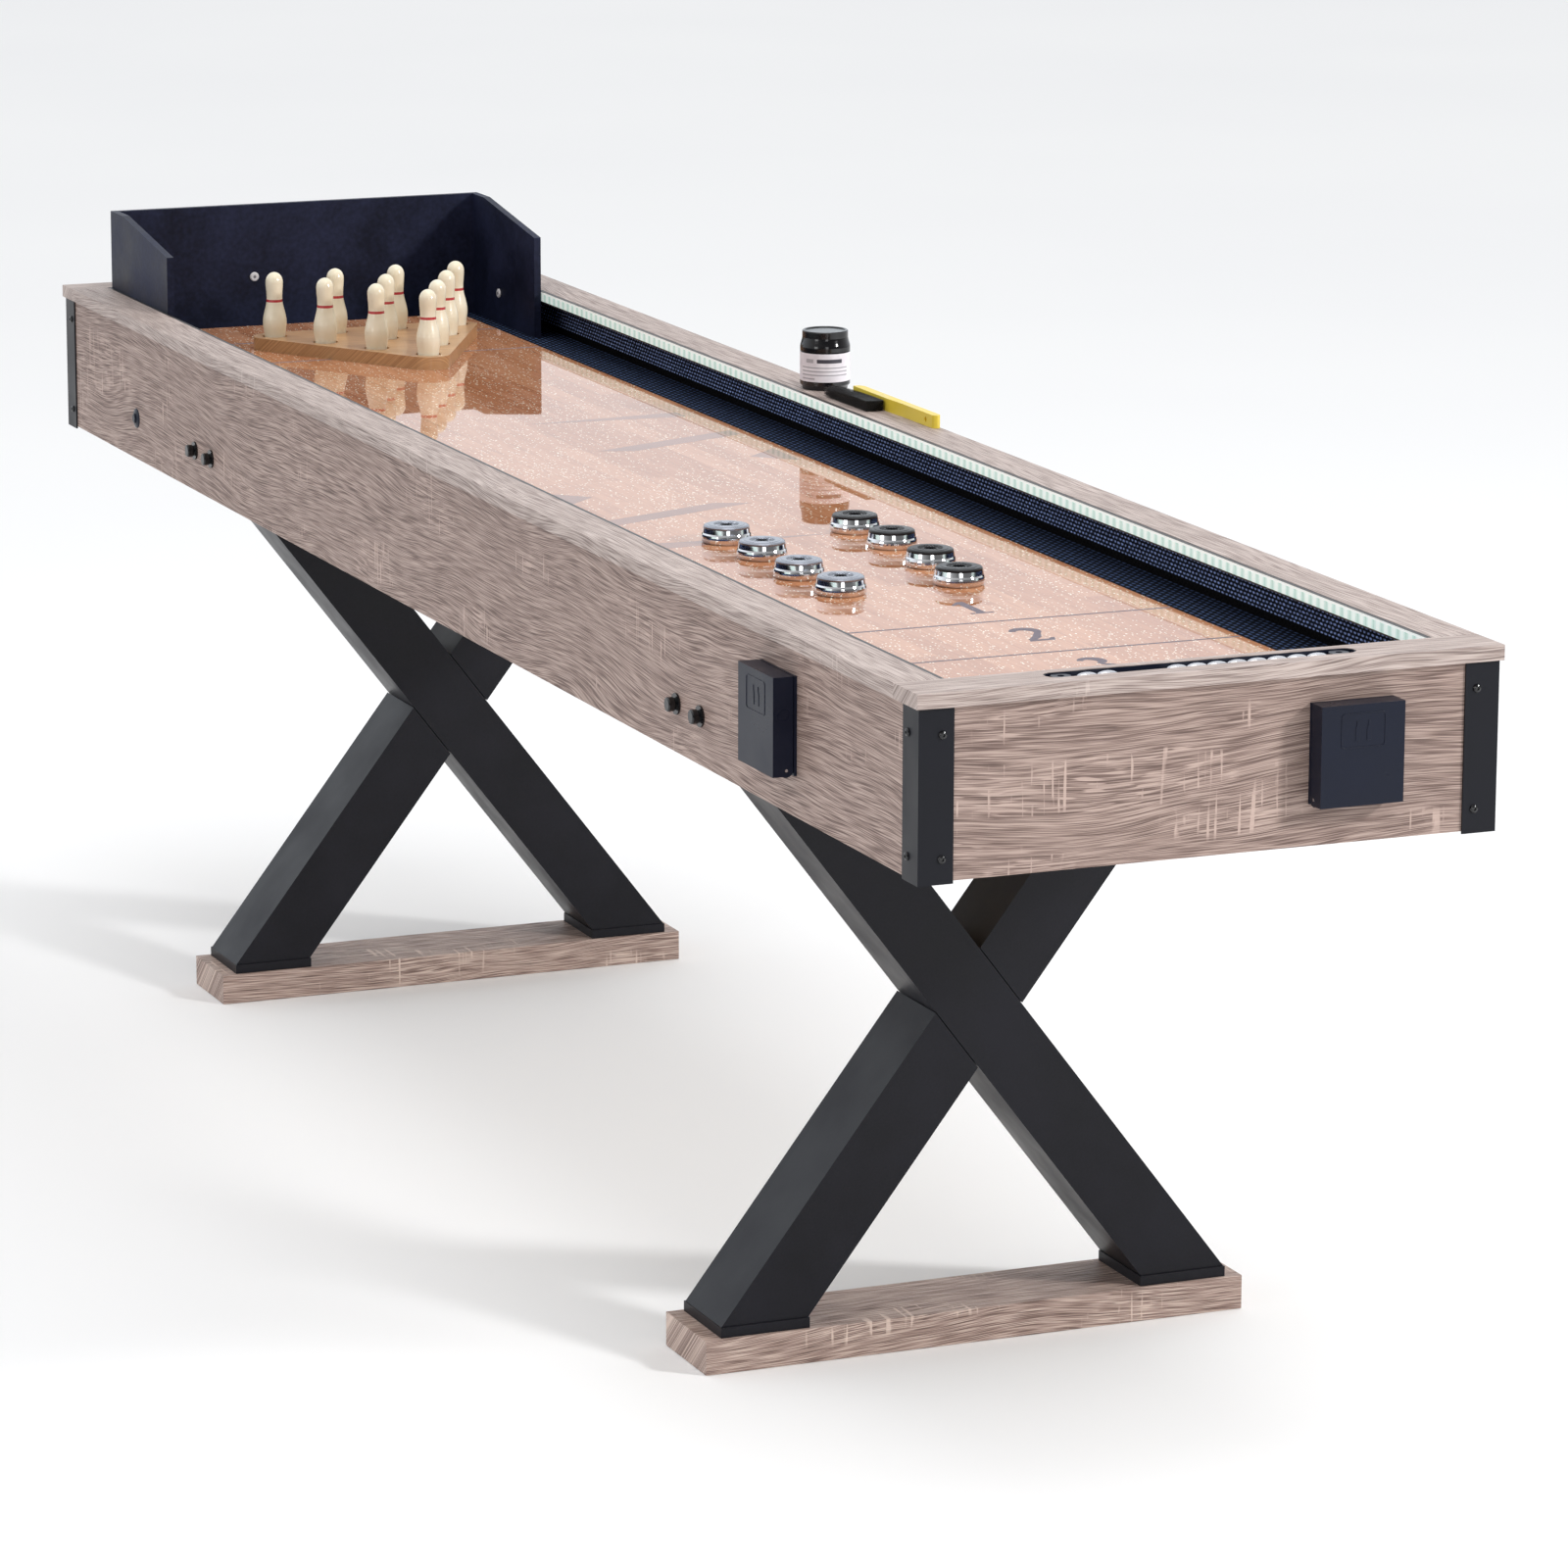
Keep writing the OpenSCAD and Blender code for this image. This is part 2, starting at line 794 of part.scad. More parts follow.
module cup_cover() {
    half = cup_w / 2;
    front = -cup_depth;
    color(black_paint) union() {
        block([-half, front, 0], [half, front + cover_front_t, cup_h]);
        difference() {
            both_sides() union() {
                block([half - cover_wall, front + 1, hinge_up], [half, -cover_back, cup_h]);
                block([half - cover_wall, front + 1, 0], [half, -hinge_out, hinge_up + 1]);
                hinge_rod(cover_heel_r, half - cover_wall, half);
            }
            hinge_rod(hinge_pin_r + hinge_fit, -cup_w, cup_w);
        }
        block([-half + 1, front + 1, cup_h - cover_wall], [half - 1, -cover_back, cup_h]);
        translate([0, front + cover_front_t - 0.5, cup_rim_up]) rotate([-90, 0, 0]) difference() {
            cylinder(r = cup_rim_r, h = cup_rim_h + 0.5);
            translate([0, 0, -1]) cylinder(r = cup_rim_r - cup_rim_wall, h = cup_rim_h + 3);
        }
    }
}

module cup_plate_side() {
    at_side_holder() cup_plate();
}

module cup_cover_side() {
    at_side_holder() cup_cover();
}

module cup_plate_end() {
    at_end_holder() cup_plate();
}

module cup_cover_end() {
    at_end_holder() cup_cover();
}

module hinge_pin_pair() {
    pin_inner = cup_w / 2 - cover_wall - cheek_gap - cheek_t;
    both_sides() hinge_rod(hinge_pin_r, pin_inner, cup_w / 2 + hinge_pin_out);
}

module cup_hinge_pins() {
    color(steel) {
        at_side_holder() hinge_pin_pair();
        at_end_holder() hinge_pin_pair();
    }
}

// ---- Game pieces ----

// A weighted puck: a chromed body with a plastic cap let into its top
module puck(place) {
    r = puck_d / 2;
    cap_low = puck_h - 4;
    cap_edge = r - 2.6;
    chrome_body = [[0, 0], [r - 2.4, 0], [r - 1.5, 0.6], [r - 0.6, 2.2], [r - 0.1, 4], [r, 5.4],
                   [r - 0.15, 7.2], [r - 0.6, 9.2], [r - 1.3, 11], [r - 2.1, cap_low + 0.3],
                   [cap_edge - 1.4, cap_low + 0.3],
                   [cap_edge - 1.4, cap_low - 2], [0, cap_low - 2]];
    cap_ring = [[0, cap_low - 1.9], [cap_edge - 1.5, cap_low - 1.9], [cap_edge - 1.5, cap_low + 0.4],
                [cap_edge, cap_low + 0.4], [cap_edge, cap_low + 2], [cap_edge - 0.9, cap_low + 3.1],
                [cap_edge - 2.4, puck_h - 0.4], [cap_edge - 5, puck_h - 0.4], [cap_edge - 5.6, puck_h],
                [cap_edge - 10.5, puck_h], [cap_edge - 11.1, puck_h - 0.7], [puck_hole_r + 1, puck_h - 0.7],
                [puck_hole_r, puck_h - 1.6], [puck_hole_r, puck_h - 4.2], [0, puck_h - 4.2]];
    color(steel) translate([place[0], place[1], field_top + puck_stand_off]) {
        rotate_extrude() polygon(chrome_body);
        rotate_extrude() polygon(cap_ring);
    }
}

module puck_silver_1() {
    puck(puck_places_silver[0]);
}

module puck_silver_2() {
    puck(puck_places_silver[1]);
}

module puck_silver_3() {
    puck(puck_places_silver[2]);
}

module puck_silver_4() {
    puck(puck_places_silver[3]);
}

module puck_black_1() {
    puck(puck_places_black[0]);
}

module puck_black_2() {
    puck(puck_places_black[1]);
}

module puck_black_3() {
    puck(puck_places_black[2]);
}

module puck_black_4() {
    puck(puck_places_black[3]);
}

// The middle of pin number i in row number r; the rows count from the head pin
function pin_place(r, i) = [(i - (r - 1) / 2) * pin_pitch, head_pin_y + (r - 1) * pin_row_step];

function smooth(from, to, t) = from + (to - from) * (1 - cos(180 * t)) / 2;

// The pin's outline from foot to crown: belly, neck and head run into each other smoothly
function pin_profile() = let (
    belly_z = pin_h * 0.25,
    neck_z = pin_h * 0.61,
    head_z = pin_h - pin_head_r - 1,
    n = pin_profile_steps)
    concat([[0, 0], [pin_base_r - pin_foot_edge, 0]],
           [for (i = [0:n]) [smooth(pin_base_r, pin_belly_r, i / n),
                             pin_foot_edge + (belly_z - pin_foot_edge) * i / n]],
           [for (i = [1:n]) [smooth(pin_belly_r, pin_neck_r, i / n), belly_z + (neck_z - belly_z) * i / n]],
           [for (i = [1:n]) [smooth(pin_neck_r, pin_head_r, i / n), neck_z + (head_z - neck_z) * i / n]],
           [for (a = [12:12:84]) [pin_head_r * cos(a), head_z + (pin_h - head_z) * sin(a)]],
           [[0, pin_h]]);

module at_pin_set() {
    pivot_y = head_pin_y + 2 * pin_row_step;
    translate([0, pivot_y, 0]) rotate([0, 0, pin_set_turn]) translate([0, -pivot_y, 0]) children();
}

module pin_row(r) {
    stand_z = field_top + pin_board_t - pin_recess_depth + pin_stand_off;
    color(cream) at_pin_set() for (i = [0:r - 1])
        translate([pin_place(r, i)[0], pin_place(r, i)[1], stand_z]) rotate_extrude() polygon(pin_profile());
}

module pin_row_1() {
    pin_row(1);
}

module pin_row_2() {
    pin_row(2);
}

module pin_row_3() {
    pin_row(3);
}

module pin_row_4() {
    pin_row(4);
}

// A triangle with round corners, drilled with a shallow recess for each pin
module pin_board() {
    corners = [[pin_place(1, 0), 210], [pin_place(4, 3), -30], [pin_place(4, 0), 90]];
    outline = [for (c = corners) for (a = [0:pin_board_arc_step:120])
        c[0] + pin_board_corner_r * [cos(c[1] + a), sin(c[1] + a)]];
    color(raw_board) at_pin_set() translate([0, 0, field_top]) difference() {
        linear_extrude(pin_board_t) polygon(outline);
        for (row = [1:4]) for (i = [0:row - 1])
            translate([pin_place(row, i)[0], pin_place(row, i)[1], pin_board_t - pin_recess_depth])
                cylinder(r = pin_recess_r, h = pin_recess_depth + 1);
    }
}

module at_can() {
    translate([can_place[0], can_place[1], table_height + puck_stand_off]) children();
}

module powder_can() {
    inner_r = can_r - can_wall;
    neck_r = can_mouth_r - can_wall;
    mouth_z = can_h + can_mouth_h;
    color(black_paint) at_can() rotate_extrude()
        polygon([[0, 0], [can_foot_r, 0], [can_foot_r + 0.6, can_foot_h], [can_r, can_foot_h + 3],
                 [can_r, can_h - 0.8], [can_r - 0.8, can_h], [can_mouth_r, can_h], [can_mouth_r, mouth_z],
                 [neck_r, mouth_z], [neck_r, can_h - 2], [inner_r, can_h - 6],
                 [inner_r, can_foot_h + 4], [0, can_foot_h + 4]]);
}

module powder_lid() {
    top = can_h + lid_h;
    gap = 0.35;
    skirt_r = can_mouth_r + gap;
    roof = top - 1.2 - lid_wall;
    color(black_paint) at_can() rotate_extrude()
        polygon([[skirt_r, can_h + gap], [can_r, can_h + gap], [can_r, can_h + 5], [can_r - 0.4, can_h + 7.5],
                 [can_r - 1.3, can_h + 10.5], [lid_top_r + 0.3, can_h + 14], [lid_top_r, can_h + 16],
                 [lid_top_r, top - 1], [lid_top_r - 1, top], [lid_top_r - 3, top],
                 [lid_top_r - 3.8, top - 1.2], [0, top - 1.2], [0, roof], [skirt_r, roof]]);
}

module at_brush() {
    translate([brush_x, 0, table_height + puck_stand_off]) children();
}

module brush_handle() {
    inner = head_plate_x;
    outer = handle_out_x;
    far = head_plate_end_y;
    near = brush_end_y;
    outline = [[inner, far], [outer - 4, far], [outer, far - 7], [outer, near + 5], [outer - 1.5, near + 1.5],
               [outer - 5, near], [inner + 6, near], [inner + 3, near + 1.5], [inner + 1.5, near + 5],
               [inner + 1.5, brush_root_y - 42], [inner, brush_root_y - 8]];
    color("gold") at_brush() difference() {
        linear_extrude(handle_h) polygon(outline);
        translate([0, brush_hole_y, handle_h / 2]) rotate([0, 90, 0])
            cylinder(r = handle_hole_r, h = outer + 1);
    }
}

// Bristles in a flat tuft that widens towards its tip, beside the plate that the head runs out into
module brush_bristles() {
    left = bristle_tip_w / 2;
    right = head_plate_x - head_plate_gap;
    past_plate = head_plate_end_y + head_plate_gap;
    outline = [[-bristle_root_w / 2, brush_root_y], [right, brush_root_y], [right, past_plate],
               [left - 2, past_plate + 4], [left - 1, brush_tip_y - bristle_corner - 6],
               [left - bristle_corner - 3, brush_tip_y], [-left + bristle_corner, brush_tip_y],
               [-left, brush_tip_y - bristle_corner]];
    color(black_paint) at_brush() linear_extrude(bristle_h) polygon(outline);
}

apron_left();
apron_right();
apron_near();
apron_far();
rail_left();
rail_right();
rail_near();
rail_far();
corner_brackets();
bracket_screws();
deck_board();
cross_members();
playfield();
floor_carpets();
wall_carpets();
led_channels();
led_lenses();
led_battery_box();
led_switch_housing();
led_switch_button();
long_beam_near();
short_beams_near();
long_beam_far();
short_beams_far();
leg_plinths();
leg_top_boards();
foot_board_near();
foot_board_far();
leg_bolts();
backboard_panel();
backboard_wing_left();
backboard_wing_right();
backboard_screws();
backboard_caps();
scorer_tray();
scorer_rod();
scorer_beads_left();
scorer_beads_right();
cup_plate_side();
cup_cover_side();
cup_plate_end();
cup_cover_end();
cup_hinge_pins();
puck_silver_1();
puck_silver_2();
puck_silver_3();
puck_silver_4();
puck_black_1();
puck_black_2();
puck_black_3();
puck_black_4();
pin_board();
pin_row_1();
pin_row_2();
pin_row_3();
pin_row_4();
powder_can();
powder_lid();
brush_handle();
brush_bristles();
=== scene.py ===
"""Looks of the shuffleboard table: materials, printed marks, moulded details, bristles, light and camera."""
import math
import random

import bmesh
import bpy
from mathutils import Matrix, Vector


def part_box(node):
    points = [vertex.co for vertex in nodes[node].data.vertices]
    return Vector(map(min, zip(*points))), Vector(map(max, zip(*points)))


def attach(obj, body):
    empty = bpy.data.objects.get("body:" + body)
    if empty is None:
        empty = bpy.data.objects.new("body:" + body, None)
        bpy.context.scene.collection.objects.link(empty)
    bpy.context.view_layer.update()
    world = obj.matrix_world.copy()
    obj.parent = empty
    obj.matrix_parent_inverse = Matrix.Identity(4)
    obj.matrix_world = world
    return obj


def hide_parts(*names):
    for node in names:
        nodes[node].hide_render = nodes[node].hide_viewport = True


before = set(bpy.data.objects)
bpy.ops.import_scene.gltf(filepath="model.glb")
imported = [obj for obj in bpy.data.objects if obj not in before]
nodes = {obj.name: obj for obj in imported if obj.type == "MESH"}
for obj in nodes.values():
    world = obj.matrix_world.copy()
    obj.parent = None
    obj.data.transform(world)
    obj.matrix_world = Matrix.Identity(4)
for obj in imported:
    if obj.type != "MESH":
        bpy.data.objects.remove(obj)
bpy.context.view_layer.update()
scene = bpy.context.scene


# ---------------------------------------------------------------- node helpers

def srgb(*levels):
    """A colour given as three 0..255 screen values, as linear light."""
    parts = [c / 255 for c in levels]
    return tuple(p / 12.92 if p <= 0.04045 else ((p + 0.055) / 1.055) ** 2.4 for p in parts) + (1.0,)


def scaled(colour, factor):
    """The colour times a factor, no brighter than white."""
    return tuple(min(1.0, c * factor) for c in colour[:3]) + (1,)


def add(nt, kind, inputs=None, **props):
    """A new node. An input that is given a socket is linked to it, and any other value is set."""
    n = nt.nodes.new(kind)
    for k, v in props.items():
        setattr(n, k, v)
    for k, v in (inputs or {}).items():
        s = n.inputs[k]
        if isinstance(v, bpy.types.NodeSocket):
            nt.links.new(v, s)
        else:
            s.default_value = v
    return n


def calc(nt, op, a, b=0.0, c=0.0):
    return add(nt, "ShaderNodeMath", {0: a, 1: b, 2: c}, operation=op).outputs[0]


def times(nt, first, *others):
    """The product of all the values."""
    for value in others:
        first = calc(nt, "MULTIPLY", first, value)
    return first


def weighted(nt, value, weight, rest):
    """value x weight + rest"""
    return calc(nt, "MULTIPLY_ADD", value, weight, rest)


def mix(nt, fac, a, b):
    return add(nt, "ShaderNodeMix", {0: fac, 6: a, 7: b}, data_type="RGBA", blend_type="MIX").outputs[2]


def ramp(nt, fac, *stops):
    n = add(nt, "ShaderNodeValToRGB", {0: fac})
    e = n.color_ramp.elements
    while len(e) < len(stops):
        e.new(0.5)
    for el, (pos, col) in zip(e, stops):
        el.position = pos
        el.color = col if isinstance(col, tuple) else (col, col, col, 1)
    return n.outputs[0]


def remap(nt, value, low, high, to_low, to_high):
    """Takes low..high to to_low..to_high, in a straight line, clamped at the ends."""
    inputs = {0: value, 1: low, 2: high, 3: to_low, 4: to_high}
    return add(nt, "ShaderNodeMapRange", inputs, clamp=True).outputs[0]


def step(nt, value, low, high):
    """0 below low, 1 above high, in a straight line between them."""
    return remap(nt, value, low, high, 0.0, 1.0)


def band(nt, value, low, high, soft):
    """1 from low to high, 0 outside, with soft edges."""
    return times(nt, step(nt, value, low - soft, low), step(nt, value, high + soft, high))


def noise(nt, vector, scale=1.0, detail=2.0, rough=0.5):
    inputs = {"Vector": vector, "Scale": scale, "Detail": detail, "Roughness": rough}
    return add(nt, "ShaderNodeTexNoise", inputs).outputs["Fac"]


def combine(nt, x, y, z):
    return add(nt, "ShaderNodeCombineXYZ", {0: x, 1: y, 2: z}).outputs[0]


def grain(nt, along, per_along, across, per_across, third, detail=2.0, rough=0.5):
    """Noise drawn out along a board: so many periods a metre along it, and across it."""
    where = combine(nt, times(nt, along, per_along), times(nt, across, per_across), third)
    return noise(nt, where, 1.0, detail, rough)


def wave(nt, value, pitch):
    """The sine of the value, one cycle in two pitches, folded to stay above 0."""
    return calc(nt, "ABSOLUTE", calc(nt, "SINE", times(nt, value, math.pi / pitch)))


def bump(nt, height, distance, strength=1.0):
    return add(nt, "ShaderNodeBump", {"Height": height, "Distance": distance, "Strength": strength}).outputs[0]


def material(name, **settings):
    """A new Principled material, its node tree and shader, and the object's own x, y, z and their vector."""
    m = bpy.data.materials.new(name)
    m.use_nodes = True
    nt = m.node_tree
    shader = nt.nodes["Principled BSDF"]
    for k, v in settings.items():
        shader.inputs[k.replace("_", " ")].default_value = v
    vec = add(nt, "ShaderNodeTexCoord").outputs["Object"]
    sep = add(nt, "ShaderNodeSeparateXYZ", {0: vec})
    return m, nt, shader, sep.outputs[0], sep.outputs[1], sep.outputs[2], vec


def wire(nt, shader, **links):
    for k, v in links.items():
        nt.links.new(v, shader.inputs[k.replace("_", " ")])


# ---------------------------------------------------------------- materials

def distance_in_reaches(nt, value, centre, reach):
    """How far a value is from a centre, in reaches, to the fourth power, for a box with rounded corners."""
    away = times(nt, calc(nt, "SUBTRACT", value, centre), 1 / reach)
    return calc(nt, "POWER", calc(nt, "ABSOLUTE", away), 4.0)


def oak(name, along, dark, mid, light, marks, patches=()):
    """Weathered oak laminate whose grain runs along X or Y, with pale saw marks across it in patches.

    patches lists extra places for the marks: centre along, centre across, reach along, reach across.
    """
    m, nt, sh, x, y, z, vec = material(name, Specular_IOR_Level=0.35)
    u, other = (y, x) if along == "Y" else (x, y)
    s = calc(nt, "ADD", other, z)

    def field(per_u, per_s, across, detail=1.0):
        return grain(nt, u, per_u, across, per_s, other, detail)

    warped = weighted(nt, field(2.4, 8.0, s, 1.5), 0.075, s)
    warped = weighted(nt, field(14.0, 40.0, s), 0.0022, warped)
    fibre = field(24.0, 1300.0, warped, 0.0)
    thread = field(40.0, 2400.0, warped, 0.0)
    tone = field(3.0, 20.0, warped, 2.0)
    contour = field(8.0, 520.0, warped, 0.0)
    shade = weighted(nt, tone, 0.07, times(nt, contour, 0.12))
    shade = weighted(nt, thread, 0.30, shade)
    shade = weighted(nt, fibre, 0.62, shade)
    col = ramp(nt, shade, (0.44, dark), (0.57, mid), (0.70, light))

    contour_pore = times(nt, step(nt, contour, 0.28, 0.22), 0.5)
    pore = calc(nt, "MAXIMUM", step(nt, fibre, 0.36, 0.28), contour_pore)
    col = mix(nt, times(nt, pore, 0.5), col, scaled(dark, 0.42))

    patch = step(nt, field(6.0, 15.0, s), 0.56, 0.63)
    for centre_u, centre_s, reach_u, reach_s in patches:
        away = calc(nt, "ADD", distance_in_reaches(nt, u, centre_u, reach_u),
                    distance_in_reaches(nt, s, centre_s, reach_s))
        ragged = weighted(nt, field(20.0, 30.0, s), 1.6, away)
        patch = calc(nt, "MAXIMUM", patch, step(nt, ragged, 1.7, 1.4))
    gaps = step(nt, field(90.0, 34.0, s), 0.42, 0.5)
    cross = times(nt, step(nt, field(240.0, 9.0, s, 0.0), 0.64, 0.72), gaps)
    dash = times(nt, step(nt, field(34.0, 560.0, warped, 0.0), 0.60, 0.70), 0.85)
    scratched = times(nt, patch, calc(nt, "MAXIMUM", cross, dash), marks)
    col = mix(nt, scratched, col, scaled(light, 1.2))

    rough = remap(nt, fibre, 0.3, 0.7, 0.62, 0.48)
    height = calc(nt, "ADD", times(nt, fibre, 0.8), scratched)
    wire(nt, sh, Base_Color=col, Roughness=rough, Normal=bump(nt, height, 0.0004, 0.6))
    return m


def plain(name, colour, rough, spread=0.08, texture=700.0, depth=0.00004, vary=0.12, **settings):
    """A moulded or painted finish: fine orange peel, and slow changes of tone and gloss."""
    m, nt, sh, x, y, z, vec = material(name, **settings)
    slow = noise(nt, vec, 14.0, 3.0)
    fine = noise(nt, vec, texture, 2.0)
    tone = weighted(nt, fine, 0.35, times(nt, slow, 0.65))
    col = ramp(nt, tone, (0.36, scaled(colour, 1 - vary)), (0.64, scaled(colour, 1 + vary)))
    gloss = remap(nt, slow, 0.3, 0.7, rough - spread, rough + spread)
    wire(nt, sh, Base_Color=col, Roughness=gloss, Normal=bump(nt, fine, depth, 0.6))
    return m


def board(name, dark, light, fine=260.0, coat=0.0, rough=0.5):
    """Plain wood with straight grain along X."""
    m, nt, sh, x, y, z, vec = material(name, Coat_Weight=coat, Coat_Roughness=0.12, Roughness=rough)
    s = calc(nt, "ADD", y, z)
    bend = weighted(nt, grain(nt, x, 4.0, s, 16.0, y), 0.03, s)
    fibre = grain(nt, x, 12.0, bend, fine, y, 3.0, 0.6)
    col = ramp(nt, fibre, (0.32, dark), (0.68, light))
    wire(nt, sh, Base_Color=col, Normal=bump(nt, fibre, 0.0001, 0.4))
    return m


def strip_wood(name):
    """The playing board: glued strips of warm wood under a poured clear coat, with wax grains on it."""
    strip_w = 0.0318
    m, nt, sh, x, y, z, vec = material(name, Specular_IOR_Level=0.0, Coat_Weight=1.0, Coat_Roughness=0.015,
                                       Coat_IOR=1.5)
    strips = add(nt, "ShaderNodeTexBrick",
                 {"Vector": combine(nt, y, x, 0.0), "Color1": srgb(171, 112, 76), "Color2": srgb(194, 138, 102),
                  "Mortar": srgb(140, 88, 60), "Scale": 1.0, "Mortar Size": 0.0002, "Mortar Smooth": 0.3,
                  "Bias": 0.12, "Brick Width": 0.34, "Row Height": strip_w},
                 offset=0.37, offset_frequency=2)
    row = calc(nt, "FLOOR", calc(nt, "DIVIDE", x, strip_w))
    bend = weighted(nt, grain(nt, y, 5.0, x, 26.0, row), 0.012, x)
    fibre = grain(nt, y, 15.0, bend, 330.0, row, 3.0, 0.6)
    flame = grain(nt, y, 4.0, bend, 60.0, row)
    col = mix(nt, ramp(nt, fibre, (0.30, 0.42), (0.55, 0.0)), strips.outputs["Color"], srgb(128, 74, 44))
    col = mix(nt, times(nt, step(nt, flame, 0.5, 0.72), 0.45), col, srgb(206, 154, 122))

    grains = None
    dust = combine(nt, x, times(nt, y, 0.5), 0.0)
    crowd = noise(nt, combine(nt, x, times(nt, y, 0.6), 0.0), 6.0, 2.0)
    for cell, size, keep in ((0.0078, 0.10, 0.53), (0.0050, 0.135, 0.55), (0.0036, 0.16, 0.56)):
        v = add(nt, "ShaderNodeTexVoronoi", {"Vector": dust, "Scale": 1 / cell}, feature="F1")
        pick = add(nt, "ShaderNodeSeparateColor", {0: v.outputs["Color"]}).outputs[0]
        here = step(nt, weighted(nt, pick, 0.55, times(nt, crowd, 0.62)), keep, keep + 0.02)
        spot = times(nt, step(nt, v.outputs["Distance"], size * 1.5, size), here)
        grains = spot if grains is None else calc(nt, "MAXIMUM", grains, spot)
    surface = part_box("playfield")[1].z
    grains = times(nt, grains, step(nt, z, surface - 0.0006, surface - 0.0004))
    col = mix(nt, grains, col, srgb(255, 246, 226))
    rough = remap(nt, grains, 0.0, 1.0, 0.42, 0.75)
    pour = bump(nt, noise(nt, vec, 9.0, 1.0), 0.00004, 0.5)
    wire(nt, sh, Base_Color=col, Roughness=rough, Normal=bump(nt, grains, 0.0002, 0.7), Coat_Normal=pour)
    return m


def carpet(name, tint, corner_shade, pitch, stitch):
    """Ribbed needle carpet: rows of small loops along the table, and near-black painted shade along the corner
    where the wall and floor carpets meet.
    """
    m, nt, sh, x, y, z, vec = material(name, Roughness=0.95, Specular_IOR_Level=0.1)
    across = calc(nt, "ADD", x, z)
    row = calc(nt, "FLOOR", calc(nt, "DIVIDE", across, pitch))
    wobble = times(nt, noise(nt, vec, 110.0, 2.0), 0.004)
    ribs = wave(nt, calc(nt, "ADD", across, times(nt, wobble, 0.25)), pitch)
    shifted = calc(nt, "ADD", y, times(nt, row, stitch * 0.43))
    loops = wave(nt, calc(nt, "ADD", shifted, wobble), stitch)
    fuzz = noise(nt, vec, 420.0, 3.0, 0.7)
    height = times(nt, times(nt, ribs, weighted(nt, loops, 0.75, 0.25)), weighted(nt, fuzz, 1.6, 0.1))
    shadow, gleam = [tuple(c * k for c in tint[:3]) + (1,) for k in (0.12, 11.0)]
    col = ramp(nt, height, (0.22, shadow), (0.52, tint), (0.90, gleam))
    # painted shade: the corner between the wall and floor carpets is made near black
    col = mix(nt, corner_shade(nt, x, z), col, (0.0012, 0.0012, 0.0018, 1))
    wire(nt, sh, Base_Color=col, Normal=bump(nt, height, 0.0012, 0.8))
    return m


def wall_corner_shade(nt, x, z):
    """1 along the foot of the wall carpets, where the corner's painted shade goes."""
    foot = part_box("wall_carpets")[0].z
    return step(nt, z, foot + 0.0096, foot + 0.0086)


def floor_corner_shade(nt, x, z):
    """1 along the outer edges of the floor carpets, where the corner's painted shade goes."""
    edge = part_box("floor_carpets")[1].x
    return step(nt, calc(nt, "ABSOLUTE", x), edge - 0.0030, edge - 0.0022)


def light_strip(name):
    """Milky cover over a row of light chips, one every sixtieth of a metre."""
    m, nt, sh, x, y, z, vec = material(name, Roughness=0.22, Emission_Strength=0.34)
    pitch = 1 / 60

    def swing(length):
        return weighted(nt, calc(nt, "SINE", times(nt, y, 2 * math.pi / length)), 0.5, 0.5)

    chips, lines = swing(pitch), swing(pitch / 5)
    glow = weighted(nt, noise(nt, vec, 60.0, 2.0), 0.25, times(nt, chips, 0.6))
    glow = weighted(nt, lines, 0.22, glow)
    col = ramp(nt, glow, (0.15, srgb(180, 214, 205)), (0.50, srgb(214, 238, 231)), (0.80, srgb(240, 252, 248)))
    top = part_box("led_lenses")[1].z
    col = mix(nt, step(nt, z, top - 0.0022, top - 0.0012), col, srgb(250, 255, 253))
    wire(nt, sh, Base_Color=col, Emission_Color=col, Normal=bump(nt, lines, 0.00015, 0.5))
    return m


def channel(name):
    """Dark channel with a bright lip at its top edge."""
    m, nt, sh, x, y, z, vec = material(name, Roughness=0.4)
    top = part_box("led_channels")[1].z
    lip = band(nt, z, top - 0.0012, top - 0.0003, 0.0001)
    speck = noise(nt, vec, 500.0, 2.0)
    col = mix(nt, lip, ramp(nt, speck, (0.3, srgb(16, 14, 14)), (0.7, srgb(30, 26, 25))), srgb(238, 246, 243))
    wire(nt, sh, Base_Color=col, Normal=bump(nt, speck, 0.00005, 0.4))
    return m


def metal(name, colour, rough):
    """Polished metal with faint turning lines round Z and slow changes of gloss."""
    m, nt, sh, x, y, z, vec = material(name, Metallic=1.0)
    slow = noise(nt, vec, 35.0, 3.0)
    fine = grain(nt, x, 90.0, y, 90.0, times(nt, z, 2200.0))
    col = ramp(nt, slow, (0.35, scaled(colour, 0.9)), (0.65, colour))
    gloss = remap(nt, slow, 0.3, 0.7, rough * 0.7, rough * 1.4)
    wire(nt, sh, Base_Color=col, Roughness=gloss, Normal=bump(nt, fine, 0.00002, 0.15))
    return m


def pin_plastic(name):
    """Cream lacquer with one red band round the neck."""
    m, nt, sh, x, y, z, vec = material(name, Roughness=0.34, Coat_Weight=0.5, Coat_Roughness=0.08)
    lo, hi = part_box("pin_row_1")
    neck = lo.z + (hi.z - lo.z) * 0.575
    half = 0.0016
    tone = noise(nt, vec, 40.0, 3.0)
    col = ramp(nt, tone, (0.3, srgb(233, 221, 193)), (0.7, srgb(244, 235, 212)))
    col = mix(nt, band(nt, z, neck - half, neck + half, 0.0001), col, srgb(186, 40, 46))
    wire(nt, sh, Base_Color=col, Normal=bump(nt, noise(nt, vec, 300.0, 2.0), 0.00004, 0.4))
    return m


